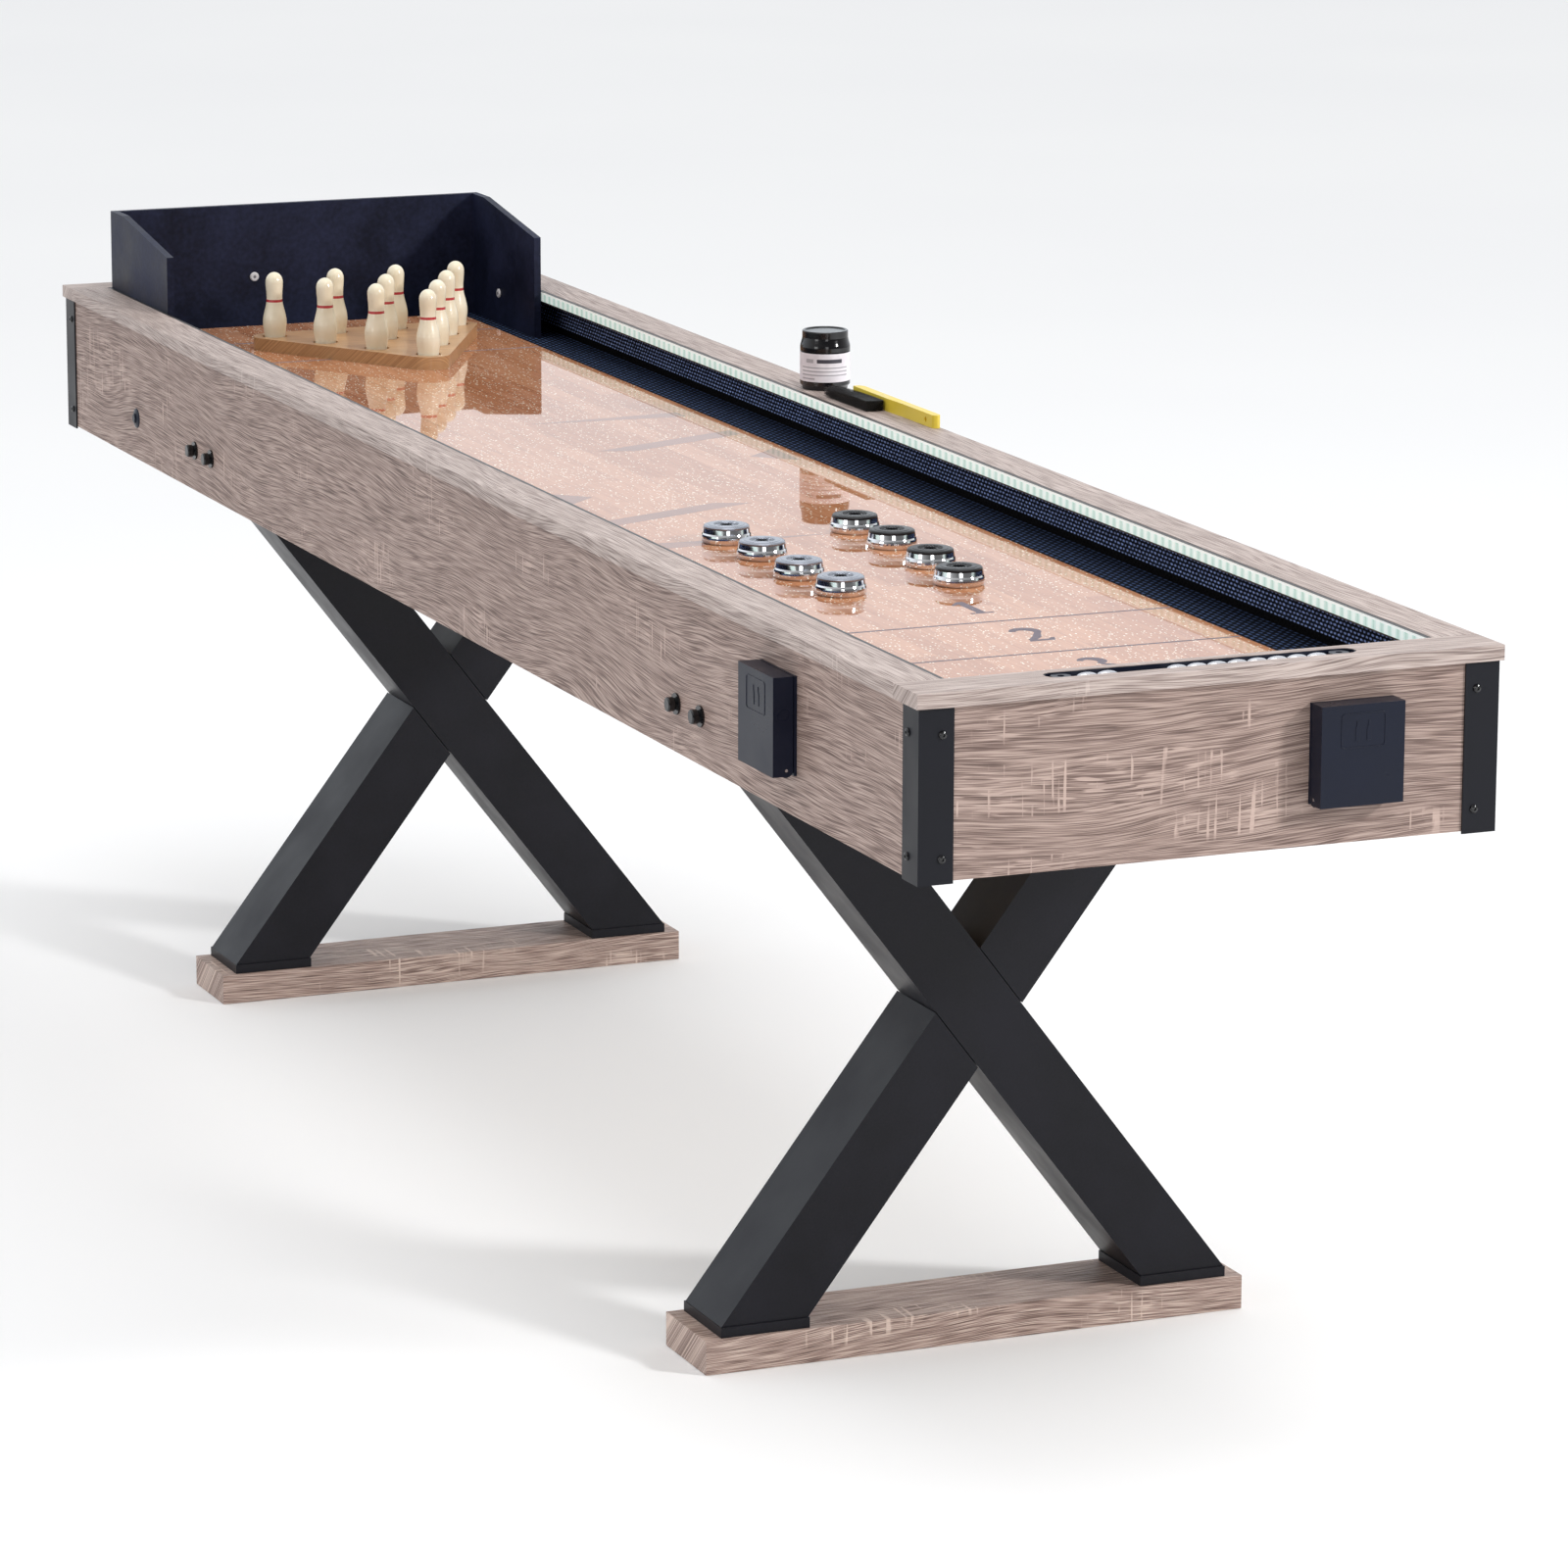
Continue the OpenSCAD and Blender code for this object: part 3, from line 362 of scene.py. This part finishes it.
# Bars on the can's label: lower and upper edge above the can's foot, left and right angle, and darkness
LABEL_BARS = [(0.0330, 0.0374, -2.30, -1.25, 1.0), (0.0330, 0.0374, -2.80, -2.46, 0.45)]
LABEL_BARS += [(low, low + 0.0012, -3.05, -0.95, 0.55) for low in (0.0268, 0.0224, 0.0180)]
LABEL_BARS += [(0.0136, 0.0148, -3.05, -2.4, 0.55)]


def can_plastic(name):
    """Glossy black pot with a plain white paper band, ruled with bars and lines."""
    m, nt, sh, x, y, z, vec = material(name, Coat_Roughness=0.05)
    lo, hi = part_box("powder_can")
    centre = (lo + hi) / 2
    wall = (hi.x - lo.x) / 2
    up = calc(nt, "SUBTRACT", z, lo.z)
    out_x = calc(nt, "SUBTRACT", x, centre.x)
    out_y = calc(nt, "SUBTRACT", y, centre.y)
    angle = calc(nt, "ARCTAN2", out_y, out_x)
    outwards = combine(nt, out_x, out_y, 0.0)
    radius = add(nt, "ShaderNodeVectorMath", {0: outwards}, operation="LENGTH").outputs["Value"]
    outer = step(nt, radius, wall - 0.0012, wall - 0.0008)
    label = times(nt, band(nt, up, 0.0105, 0.0437, 0.0001), outer)
    bars = None
    for low, high, left, right, darkness in LABEL_BARS:
        bar = times(nt, band(nt, up, low, high, 0.0002), band(nt, angle, left, right, 0.01), darkness)
        bars = bar if bars is None else calc(nt, "MAXIMUM", bars, bar)
    white = ramp(nt, noise(nt, vec, 80.0, 2.0), (0.3, srgb(222, 216, 222)), (0.7, srgb(238, 233, 238)))
    paper = mix(nt, bars, white, srgb(62, 60, 70))
    black = ramp(nt, noise(nt, vec, 30.0, 2.0), (0.3, srgb(15, 14, 17)), (0.7, srgb(26, 24, 28)))
    rough = remap(nt, label, 0.0, 1.0, 0.13, 0.5)
    col = mix(nt, label, black, paper)
    wire(nt, sh, Base_Color=col, Roughness=rough, Normal=bump(nt, label, 0.0002, 0.8))
    return m


OAK = dict(dark=srgb(119, 98, 91), mid=srgb(150, 129, 120), light=srgb(181, 159, 149))
RAIL = dict(dark=srgb(146, 130, 124), mid=srgb(173, 157, 150), light=srgb(197, 182, 175))
FOOT = dict(dark=srgb(122, 100, 92), mid=srgb(172, 148, 138), light=srgb(210, 190, 178))
END_PATCHES = ((-0.12, -0.655, 0.15, 0.028), (-0.19, -0.735, 0.05, 0.016))
oak_y = oak("oak_along_y", "Y", marks=0.8, **OAK)
oak_x = oak("oak_along_x", "X", marks=0.85, patches=END_PATCHES, **OAK)
rail_y = oak("rail_along_y", "Y", marks=0.45, **RAIL)
rail_x = oak("rail_along_x", "X", marks=0.5, **RAIL)
foot_x = oak("foot_along_x", "X", marks=0.75, **FOOT)

black_laminate = plain("black_laminate", srgb(24, 24, 30), 0.40, texture=420.0, depth=0.00006, vary=0.25,
                       Specular_IOR_Level=0.2)
backboard_black = plain("backboard_black", srgb(29, 33, 54), 0.48, texture=160.0, depth=0.0001, vary=0.45,
                        Specular_IOR_Level=0.16)
black_metal = plain("black_metal", srgb(20, 21, 28), 0.38, texture=900.0, Specular_IOR_Level=0.2)
black_plastic = plain("black_plastic", srgb(19, 24, 40), 0.33, texture=1100.0, depth=0.00003,
                      Specular_IOR_Level=0.2)
gloss_black = plain("gloss_black", srgb(14, 14, 17), 0.14, spread=0.05, texture=900.0, depth=0.00002)
white_plastic = plain("white_plastic", srgb(226, 224, 226), 0.3)
grey_plastic = plain("grey_plastic", srgb(120, 120, 126), 0.35)
silver_cap = plain("silver_cap", srgb(150, 154, 164), 0.22, spread=0.05, Metallic=0.95)
black_cap = plain("matt_black", srgb(13, 13, 17), 0.3, texture=900.0, Specular_IOR_Level=0.3)
cap_hollow = plain("cap_hollow", srgb(12, 12, 16), 0.6, texture=900.0, Specular_IOR_Level=0.05)
bead_metal = metal("bead_metal", (0.62, 0.62, 0.65, 1), 0.2)
yellow = plain("yellow_plastic", srgb(226, 200, 66), 0.35, vary=0.06)
bristle_black = plain("bristle_black", srgb(18, 17, 18), 0.55, vary=0.5)
raw_board = board("raw_board", srgb(150, 128, 100), srgb(196, 174, 144))
pin_wood = board("pin_board_wood", srgb(160, 116, 76), srgb(202, 158, 112), fine=420.0, coat=0.4, rough=0.4)
playing = strip_wood("playing_board")
floor_carpet = carpet("floor_carpet", srgb(22, 30, 46), floor_corner_shade, 0.0066, 0.0125)
wall_carpet = carpet("wall_carpet", srgb(60, 69, 93), wall_corner_shade, 0.0044, 0.0085)
lens = light_strip("light_strip")
channel_black = channel("light_channel")
chrome = metal("chrome", (0.86, 0.87, 0.90, 1), 0.07)
steel = metal("polished_steel", (0.70, 0.71, 0.74, 1), 0.16)
cream = pin_plastic("pin_lacquer")
pot = can_plastic("powder_pot")
ink = plain("printed_ink", srgb(112, 104, 112), 0.5, texture=120.0, Specular_IOR_Level=0.1, vary=0.15)
faint_ink = plain("faint_ink", srgb(142, 98, 80), 0.42, texture=120.0, Specular_IOR_Level=0.0,
                  Coat_Weight=1.0, Coat_Roughness=0.015)


# ---------------------------------------------------------------- CAD nodes

def round_edges(o, width, segments=2):
    """Adds a small bevel on the sharp edges, and returns it."""
    b = o.modifiers.new("edge", "BEVEL")
    b.width = width
    b.segments = segments
    b.limit_method = "ANGLE"
    return b


def finish(names, mat, bevel, segments=2):
    """Gives CAD nodes their material, and a small round on their sharp edges."""
    for name in names:
        o = nodes[name]
        o.data.materials.clear()
        o.data.materials.append(mat)
        if bevel:
            b = round_edges(o, bevel, segments)
            b.angle_limit = math.radians(40)
            b.harden_normals = True
            b.use_clamp_overlap = True


def two_tone(name, second, test):
    """Faces whose middle passes the test take a second material."""
    data = nodes[name].data
    data.materials.append(second)
    for f in data.polygons:
        if test(f.center):
            f.material_index = len(data.materials) - 1


finish(["apron_left", "apron_right"], oak_y, 0.0005)
finish(["apron_near", "apron_far"], oak_x, 0.0005)
finish(["rail_left", "rail_right"], rail_y, 0.0007)
finish(["rail_near", "rail_far"], rail_x, 0.0007)
finish(["foot_board_near", "foot_board_far"], foot_x, 0.0006)
finish(["long_beam_near", "long_beam_far", "short_beams_near", "short_beams_far", "leg_plinths"],
       black_laminate, 0.0006)
finish(["backboard_panel", "backboard_wing_left", "backboard_wing_right"], backboard_black, 0.0009)
finish(["corner_brackets"], black_metal, 0.0007)
finish(["bracket_screws", "leg_bolts", "backboard_screws"], gloss_black, 0.0002)
finish(["deck_board", "cross_members", "leg_top_boards"], raw_board, 0.0005)
finish(["playfield"], playing, 0.0006)
finish(["floor_carpets"], floor_carpet, 0)
finish(["wall_carpets"], wall_carpet, 0)
finish(["led_channels"], channel_black, 0)
finish(["led_lenses"], lens, 0)
finish(["led_battery_box", "scorer_tray", "led_switch_housing", "led_switch_button"], black_plastic, 0.0003)
finish(["cup_plate_side", "cup_plate_end", "cup_cover_side", "cup_cover_end"], black_plastic, 0.0008, 3)
finish(["cup_hinge_pins", "scorer_rod"], steel, 0.0003)
finish(["scorer_beads_left", "scorer_beads_right"], bead_metal, 0)
finish(["backboard_caps"], white_plastic, 0.0002)
finish(["pin_board"], pin_wood, 0.0008)
finish(["pin_row_%d" % k for k in (1, 2, 3, 4)], cream, 0)
finish(["powder_can"], pot, 0.0003)
finish(["powder_lid"], gloss_black, 0.0003)
finish(["brush_handle"], yellow, 0.0022, 4)

PUCKS = [("puck_%s_%d" % (colour, k), cap) for colour, cap in (("silver", silver_cap), ("black", black_cap))
         for k in (1, 2, 3, 4)]
CAP_INSET = 0.00255
CAP_DEPTH = 0.0062
HOLLOW_R = 0.0068
for name, cap in PUCKS:
    finish([name], chrome, 0)
    lo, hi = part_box(name)
    mid = (lo + hi) / 2
    edge = (hi.x - lo.x) / 2 - CAP_INSET

    def on_cap(c, mid=mid, edge=edge, hi=hi):
        return math.hypot(c.x - mid.x, c.y - mid.y) < edge and c.z > hi.z - CAP_DEPTH

    def in_hollow(c, mid=mid):
        return math.hypot(c.x - mid.x, c.y - mid.y) < HOLLOW_R

    two_tone(name, cap, on_cap)
    two_tone(name, cap_hollow, in_hollow)

SOCKET_START = 0.1354
ROD_Z = 0.8004
ROD_REACH = 0.0035
rod_lo, rod_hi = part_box("scorer_rod")
rod_y = (rod_lo.y + rod_hi.y) / 2


def on_socket(c):
    return abs(c.x) > SOCKET_START and math.hypot(c.y - rod_y, c.z - ROD_Z) > ROD_REACH


two_tone("scorer_rod", black_plastic, on_socket)

for o in nodes.values():
    o.data.shade_smooth()
    o.data.set_sharp_from_angle(angle=math.radians(32))


# ---------------------------------------------------------------- extra pieces

def piece(name, verts, faces, mat, body, bevel=0.0):
    """A new mesh piece that rides on a body and belongs to a material slot."""
    me = bpy.data.meshes.new(name)
    me.from_pydata([tuple(v) for v in verts], [], faces)
    bm = bmesh.new()
    bm.from_mesh(me)
    bmesh.ops.recalc_face_normals(bm, faces=bm.faces)
    bm.to_mesh(me)
    bm.free()
    me.materials.append(mat)
    o = bpy.data.objects.new(name, me)
    scene.collection.objects.link(o)
    if bevel:
        round_edges(o, bevel)
    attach(o, body)
    return o


def prism(outline, low, high, verts, faces):
    """Adds an upright prism over a list of (x, y) corners."""
    k = len(verts)
    n = len(outline)
    verts += [Vector((x, y, low)) for x, y in outline] + [Vector((x, y, high)) for x, y in outline]
    faces.append(list(range(k + n, k + 2 * n)))
    faces.append(list(range(k + n - 1, k - 1, -1)))
    for i in range(n):
        j = (i + 1) % n
        faces.append([k + i, k + j, k + n + j, k + n + i])


def ribbon(points, widths):
    """The outline of a stroke along the points, as wide as widths says at each."""
    left, right = [], []
    for i, (p, w) in enumerate(zip(points, widths)):
        a = Vector(points[max(i - 1, 0)])
        b = Vector(points[min(i + 1, len(points) - 1)])
        d = (b - a).normalized()
        side = Vector((-d.y, d.x)) * w / 2
        left.append(tuple(Vector(p) + side))
        right.append(tuple(Vector(p) - side))
    return left + right[::-1]


def arc(cx, cy, rx, ry, start, end, n):
    """Points along part of an ellipse, between two angles in degrees."""
    angles = [math.radians(start + (end - start) * i / n) for i in range(n + 1)]
    return [(cx + rx * math.cos(a), cy + ry * math.sin(a)) for a in angles]


def swell(n, thin, thick):
    """Stroke widths that grow from thin to thick and back."""
    return [thin + (thick - thin) * math.sin(math.pi * i / n) ** 1.3 for i in range(n + 1)]


# Digits one unit high, centred on the origin
one = [[(-0.20, 0.30), (-0.03, 0.50), (0.09, 0.50), (0.09, -0.42), (-0.07, -0.42), (-0.07, 0.30), (-0.20, 0.22)],
       [(-0.20, -0.42), (0.22, -0.42), (0.22, -0.50), (-0.20, -0.50)]]
two = [ribbon(arc(0.0, 0.24, 0.20, 0.22, 165, -35, 16) + [(0.02, -0.18), (-0.17, -0.40)],
              [0.12] + swell(15, 0.11, 0.23) + [0.15, 0.12]),
       [(-0.24, -0.50), (0.20, -0.50), (0.27, -0.30), (0.21, -0.30), (0.14, -0.38), (-0.20, -0.38)]]
three = [ribbon(arc(0.0, 0.26, 0.17, 0.20, 160, -75, 14), swell(14, 0.09, 0.22)),
         ribbon(arc(0.0, -0.22, 0.22, 0.25, 75, -160, 16), swell(16, 0.09, 0.24))]

# Printed marks stand less proud than the gap of 0.00005 that the pucks keep above the board
PRINT_PROUD = 0.00003
PRINT_SUNK = 0.0001


def scoring_marks():
    """Foul and zone lines across the board, and the digits of both ends."""
    lo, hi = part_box("playfield")
    top = hi.z
    verts, faces = [], []
    left, right = lo.x + 0.002, hi.x - 0.002
    half = 0.0046 / 2
    for y in (-0.886, -1.044, 0.931, 1.092):
        corners = [(left, y - half), (right, y - half), (right, y + half), (left, y + half)]
        prism(corners, top - PRINT_SUNK, top + PRINT_PROUD, verts, faces)
    size = 0.062
    for digit, y_near, y_far in ((one, -0.813, 0.858), (two, -0.960, 1.006), (three, -1.115, 1.160)):
        for y, turn in ((y_near, 1), (y_far, -1)):
            for i, outline in enumerate(digit):
                corners = [(turn * px * size, y + turn * py * size) for px, py in outline]
                z = top + PRINT_PROUD * (1 + 0.2 * i)
                prism(corners, top - PRINT_SUNK, z, verts, faces)
    return piece("scoring_marks", verts, faces, ink, "table")


def centre_marks():
    """A faint, plain pattern of wedges in the middle of the board, the same when turned round."""
    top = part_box("playfield")[1].z
    verts, faces = [], []
    wedges = ([(-0.020, 0.185), (0.020, 0.170), (0.178, 0.232), (0.176, 0.262)],
              [(0.176, 0.045), (0.176, 0.130), (0.130, 0.088)],
              [(0.165, 0.402), (-0.035, 0.386), (0.165, 0.370)])
    for wedge in wedges:
        for turn in (1, -1):
            corners = [(turn * x, turn * y) for x, y in wedge]
            prism(corners, top - PRINT_SUNK, top + PRINT_PROUD, verts, faces)
    return piece("centre_marks", verts, faces, faint_ink, "table")


def place(verts, matrix):
    return [matrix @ Vector(v) for v in verts]


def holder_matrix(name):
    """From the middle of a cup holder's front: local x across it, local y up, and local z outwards."""
    lo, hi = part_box(name)
    mid = (lo + hi) / 2
    if name.endswith("end"):
        return Matrix(((1, 0, 0, mid.x), (0, 0, -1, lo.y), (0, 1, 0, mid.z), (0, 0, 0, 1)))
    return Matrix(((0, 0, -1, lo.x), (-1, 0, 0, mid.y), (0, 1, 0, mid.z), (0, 0, 0, 1)))


def rounded(w, h, r, n=6):
    """The outline of a rectangle with round corners."""
    right, high = w / 2 - r, h / 2 - r
    corners = ((right, high, 0), (-right, high, 90), (-right, -high, 180), (right, -high, 270))
    return [point for cx, cy, start in corners for point in arc(cx, cy, r, r, start, start + 90, n)]


def moulded_mark(body):
    """A thin raised frame with two plain upright ribs, moulded on the front of a cup holder."""
    verts, faces = [], []
    sunk, proud = -0.0002, 0.0005
    up = 0.0245
    w, h, r, wall = 0.047, 0.034, 0.004, 0.0011
    outer = rounded(w, h, r)
    inner = rounded(w - 2 * wall, h - 2 * wall, r - wall)
    n = len(outer)
    for z in (sunk, proud):
        verts += [(x, y + up, z) for x, y in outer + inner]
    for i in range(n):
        j = (i + 1) % n
        faces += [[i, j, n + j, n + i], [2 * n + i, 2 * n + j, 3 * n + j, 3 * n + i],
                  [i, j, 2 * n + j, 2 * n + i], [n + i, n + j, 3 * n + j, 3 * n + i]]
    rib_right = [(0.0024, -0.010), (0.0024, 0.001), (0.0012, 0.005), (0.0012, 0.009)]
    rib_left = [(-x, y) for x, y in reversed(rib_right)]
    for cx in (-0.006, 0.006):
        prism([(cx + x, up + y) for x, y in rib_right + rib_left], sunk, proud, verts, faces)
    name = "moulded_mark_" + body.split("_")[-1]
    verts = place(verts, holder_matrix(body))
    return piece(name, verts, faces, black_plastic, body, 0.0002)


def cap_ribs(puck, mat):
    """Small raised grip ribs in a ring on a puck's cap."""
    lo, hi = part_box(puck)
    mid = (lo + hi) / 2
    verts, faces = [], []
    rib = ((0.0085, -0.0006), (0.0128, -0.0009), (0.0128, 0.0009), (0.0085, 0.0006))
    count = 20
    for i in range(count):
        a = 2 * math.pi * i / count
        c, s = math.cos(a), math.sin(a)
        outline = [(mid.x + r * c - t * s, mid.y + r * s + t * c) for r, t in rib]
        prism(outline, hi.z - 0.0012, hi.z - 0.00015, verts, faces)
    return piece(puck + "_ribs", verts, faces, mat, puck, 0.0002)


HANDLE_PLATE_X = 0.293


def bristle_tuft():
    """The brush's tuft as separate tapering bristles, which stop short of the handle's plate."""
    rnd = random.Random(7)
    lo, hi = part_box("brush_bristles")
    verts, faces = [], []
    mid_x = (lo.x + hi.x) / 2
    width, length, height = hi.x - lo.x, hi.y - lo.y, hi.z - lo.z
    room = (HANDLE_PLATE_X - lo.x - 0.001) / width
    rows, cols = 9, 44
    parts = 4
    radius = 0.00042
    for i in range(cols):
        for j in range(rows):
            fx = (i + rnd.random()) / cols * room
            fz = (j + rnd.random()) / rows
            reach = length * (0.86 + 0.14 * rnd.random()) * (1 - 0.16 * abs(2 * fx - 1) ** 3)
            first = len(verts)
            for k in range(parts + 1):
                t = k / parts
                splay = (fx - 0.5) * (width - 0.002) * (0.86 + 0.12 * t)
                x = mid_x + splay + 0.0012 * math.sin(3 * t + i) * t
                stack = fz * (height - 0.0022) * (1 - 0.32 * t * t)
                z = lo.z + 0.0009 + stack + 0.0006 * t * rnd.random()
                y = lo.y - 0.001 + reach * t
                r = radius * (1 - 0.55 * t)
                verts += [Vector((x + r * math.cos(q), y, z + r * math.sin(q))) for q in (0.5, 2.6, 4.7)]
            for k in range(parts):
                for q in range(3):
                    a, b = first + 3 * k + q, first + 3 * k + (q + 1) % 3
                    faces.append([a, b, b + 3, a + 3])
            last = first + 3 * parts
            faces.append([first + 2, first + 1, first])
            faces.append([last, last + 1, last + 2])
    o = piece("bristle_tuft", verts, faces, bristle_black, "brush")
    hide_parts("brush_bristles")
    return o


def cap_centres():
    """Small grey plugs in the backboard's white caps: one on the panel, and one on each wing."""
    verts, faces = [], []
    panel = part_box("backboard_panel")[0].y
    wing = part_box("backboard_wing_right")[0].x
    cap_t = 0.002
    spots = [(Vector((-0.061, panel - cap_t, 0.8146)), Vector((0, -1, 0)))]
    for side in (-1, 1):
        spots.append((Vector((side * (wing - cap_t), panel - 0.099, 0.790)), Vector((-side, 0, 0))))
    radius, sides = 0.0019, 16
    disc = [(radius * math.cos(2 * math.pi * a / sides), radius * math.sin(2 * math.pi * a / sides))
            for a in range(sides)]
    for centre, outwards in spots:
        matrix = outwards.to_track_quat("Z", "Y").to_matrix().to_4x4()
        matrix.translation = centre
        plug, plug_faces = [], []
        prism(disc, -0.0005, 0.00025, plug, plug_faces)
        faces += [[len(verts) + i for i in f] for f in plug_faces]
        verts += place(plug, matrix)
    return piece("cap_centres", verts, faces, grey_plastic, "table")


scoring_marks()
centre_marks()
moulded_mark("cup_cover_side")
moulded_mark("cup_cover_end")
for name, cap in PUCKS:
    cap_ribs(name, cap)
bristle_tuft()
cap_centres()


# ---------------------------------------------------------------- floor, light and camera

def studio_floor(size, z):
    """A pale, plain floor."""
    m, nt, sh, x, y, own_z, vec = material("studio_floor", Roughness=0.9, Specular_IOR_Level=0.1)
    shades = ramp(nt, noise(nt, vec, 0.6, 2.0), (0.3, (0.93, 0.93, 0.935, 1)), (0.7, (0.95, 0.95, 0.95, 1)))
    wire(nt, sh, Base_Color=shades)
    me = bpy.data.meshes.new("studio_floor")
    s = size / 2
    me.from_pydata([(-s, -s, z), (s, -s, z), (s, s, z), (-s, s, z)], [], [(0, 1, 2, 3)])
    me.materials.append(m)
    o = bpy.data.objects.new("studio_floor", me)
    scene.collection.objects.link(o)


def studio_sky():
    """Dark behind the camera, bright ahead of it, and white overhead."""
    world = bpy.data.worlds.new("studio")
    scene.world = world
    world.use_nodes = True
    nt = world.node_tree
    bg = nt.nodes["Background"]
    bg.inputs["Strength"].default_value = 1.0
    way = add(nt, "ShaderNodeSeparateXYZ", {0: add(nt, "ShaderNodeTexCoord").outputs["Generated"]})
    forward = ramp(nt, step(nt, way.outputs[1], -0.85, 0.75), (0.0, 0.16), (0.45, 0.62),
                   (0.72, (0.92, 0.95, 0.99, 1)), (0.9, (1.04, 1.10, 1.17, 1)))
    overhead = step(nt, way.outputs[2], 0.40, 0.85)
    nt.links.new(mix(nt, overhead, forward, (1.05, 1.05, 1.05, 1)), bg.inputs["Color"])


def area(name, where, target, size, power):
    d = bpy.data.lights.new(name, "AREA")
    d.shape = "RECTANGLE"
    d.size, d.size_y = size
    d.energy = power
    o = bpy.data.objects.new(name, d)
    scene.collection.objects.link(o)
    o.location = where
    o.rotation_euler = (Vector(target) - Vector(where)).to_track_quat("-Z", "Y").to_euler()


def camera(where, lens_mm, yaw, pitch, roll):
    """A camera that looks along +Y when its yaw, pitch and roll are 0."""
    data = bpy.data.cameras.new("camera")
    data.sensor_width = 36.0
    data.lens = lens_mm
    data.clip_end = 200
    forward = Vector((math.sin(yaw) * math.cos(pitch), math.cos(yaw) * math.cos(pitch), math.sin(pitch)))
    level = Vector((math.cos(yaw), -math.sin(yaw), 0))
    upright = level.cross(forward)
    right = math.cos(roll) * level + math.sin(roll) * upright
    up = -math.sin(roll) * level + math.cos(roll) * upright
    matrix = Matrix((right, up, -forward)).transposed().to_4x4()
    matrix.translation = Vector(where)
    o = bpy.data.objects.new("camera", data)
    scene.collection.objects.link(o)
    o.matrix_world = matrix
    scene.camera = o


studio_floor(120.0, -0.0005)
studio_sky()
area("key", (3.9, -4.6, 3.4), (0, 0.2, 0.7), (0.7, 0.7), 215)
area("front", (-1.2, -5.6, 1.5), (0, -0.6, 0.8), (1.3, 1.0), 14)
area("side", (-5.0, -2.2, 1.9), (0, -0.4, 0.8), (1.6, 1.2), 22)
area("top", (0.0, -0.4, 5.0), (0, 0, 0.8), (3.0, 4.0), 50)
camera((-2.6491, -6.6545, 2.0422), lens_mm=148.324, yaw=0.3965, pitch=-0.2240, roll=0.0031)

scene.view_settings.view_transform = "Standard"
scene.view_settings.look = "None"

bpy.context.view_layer.update()
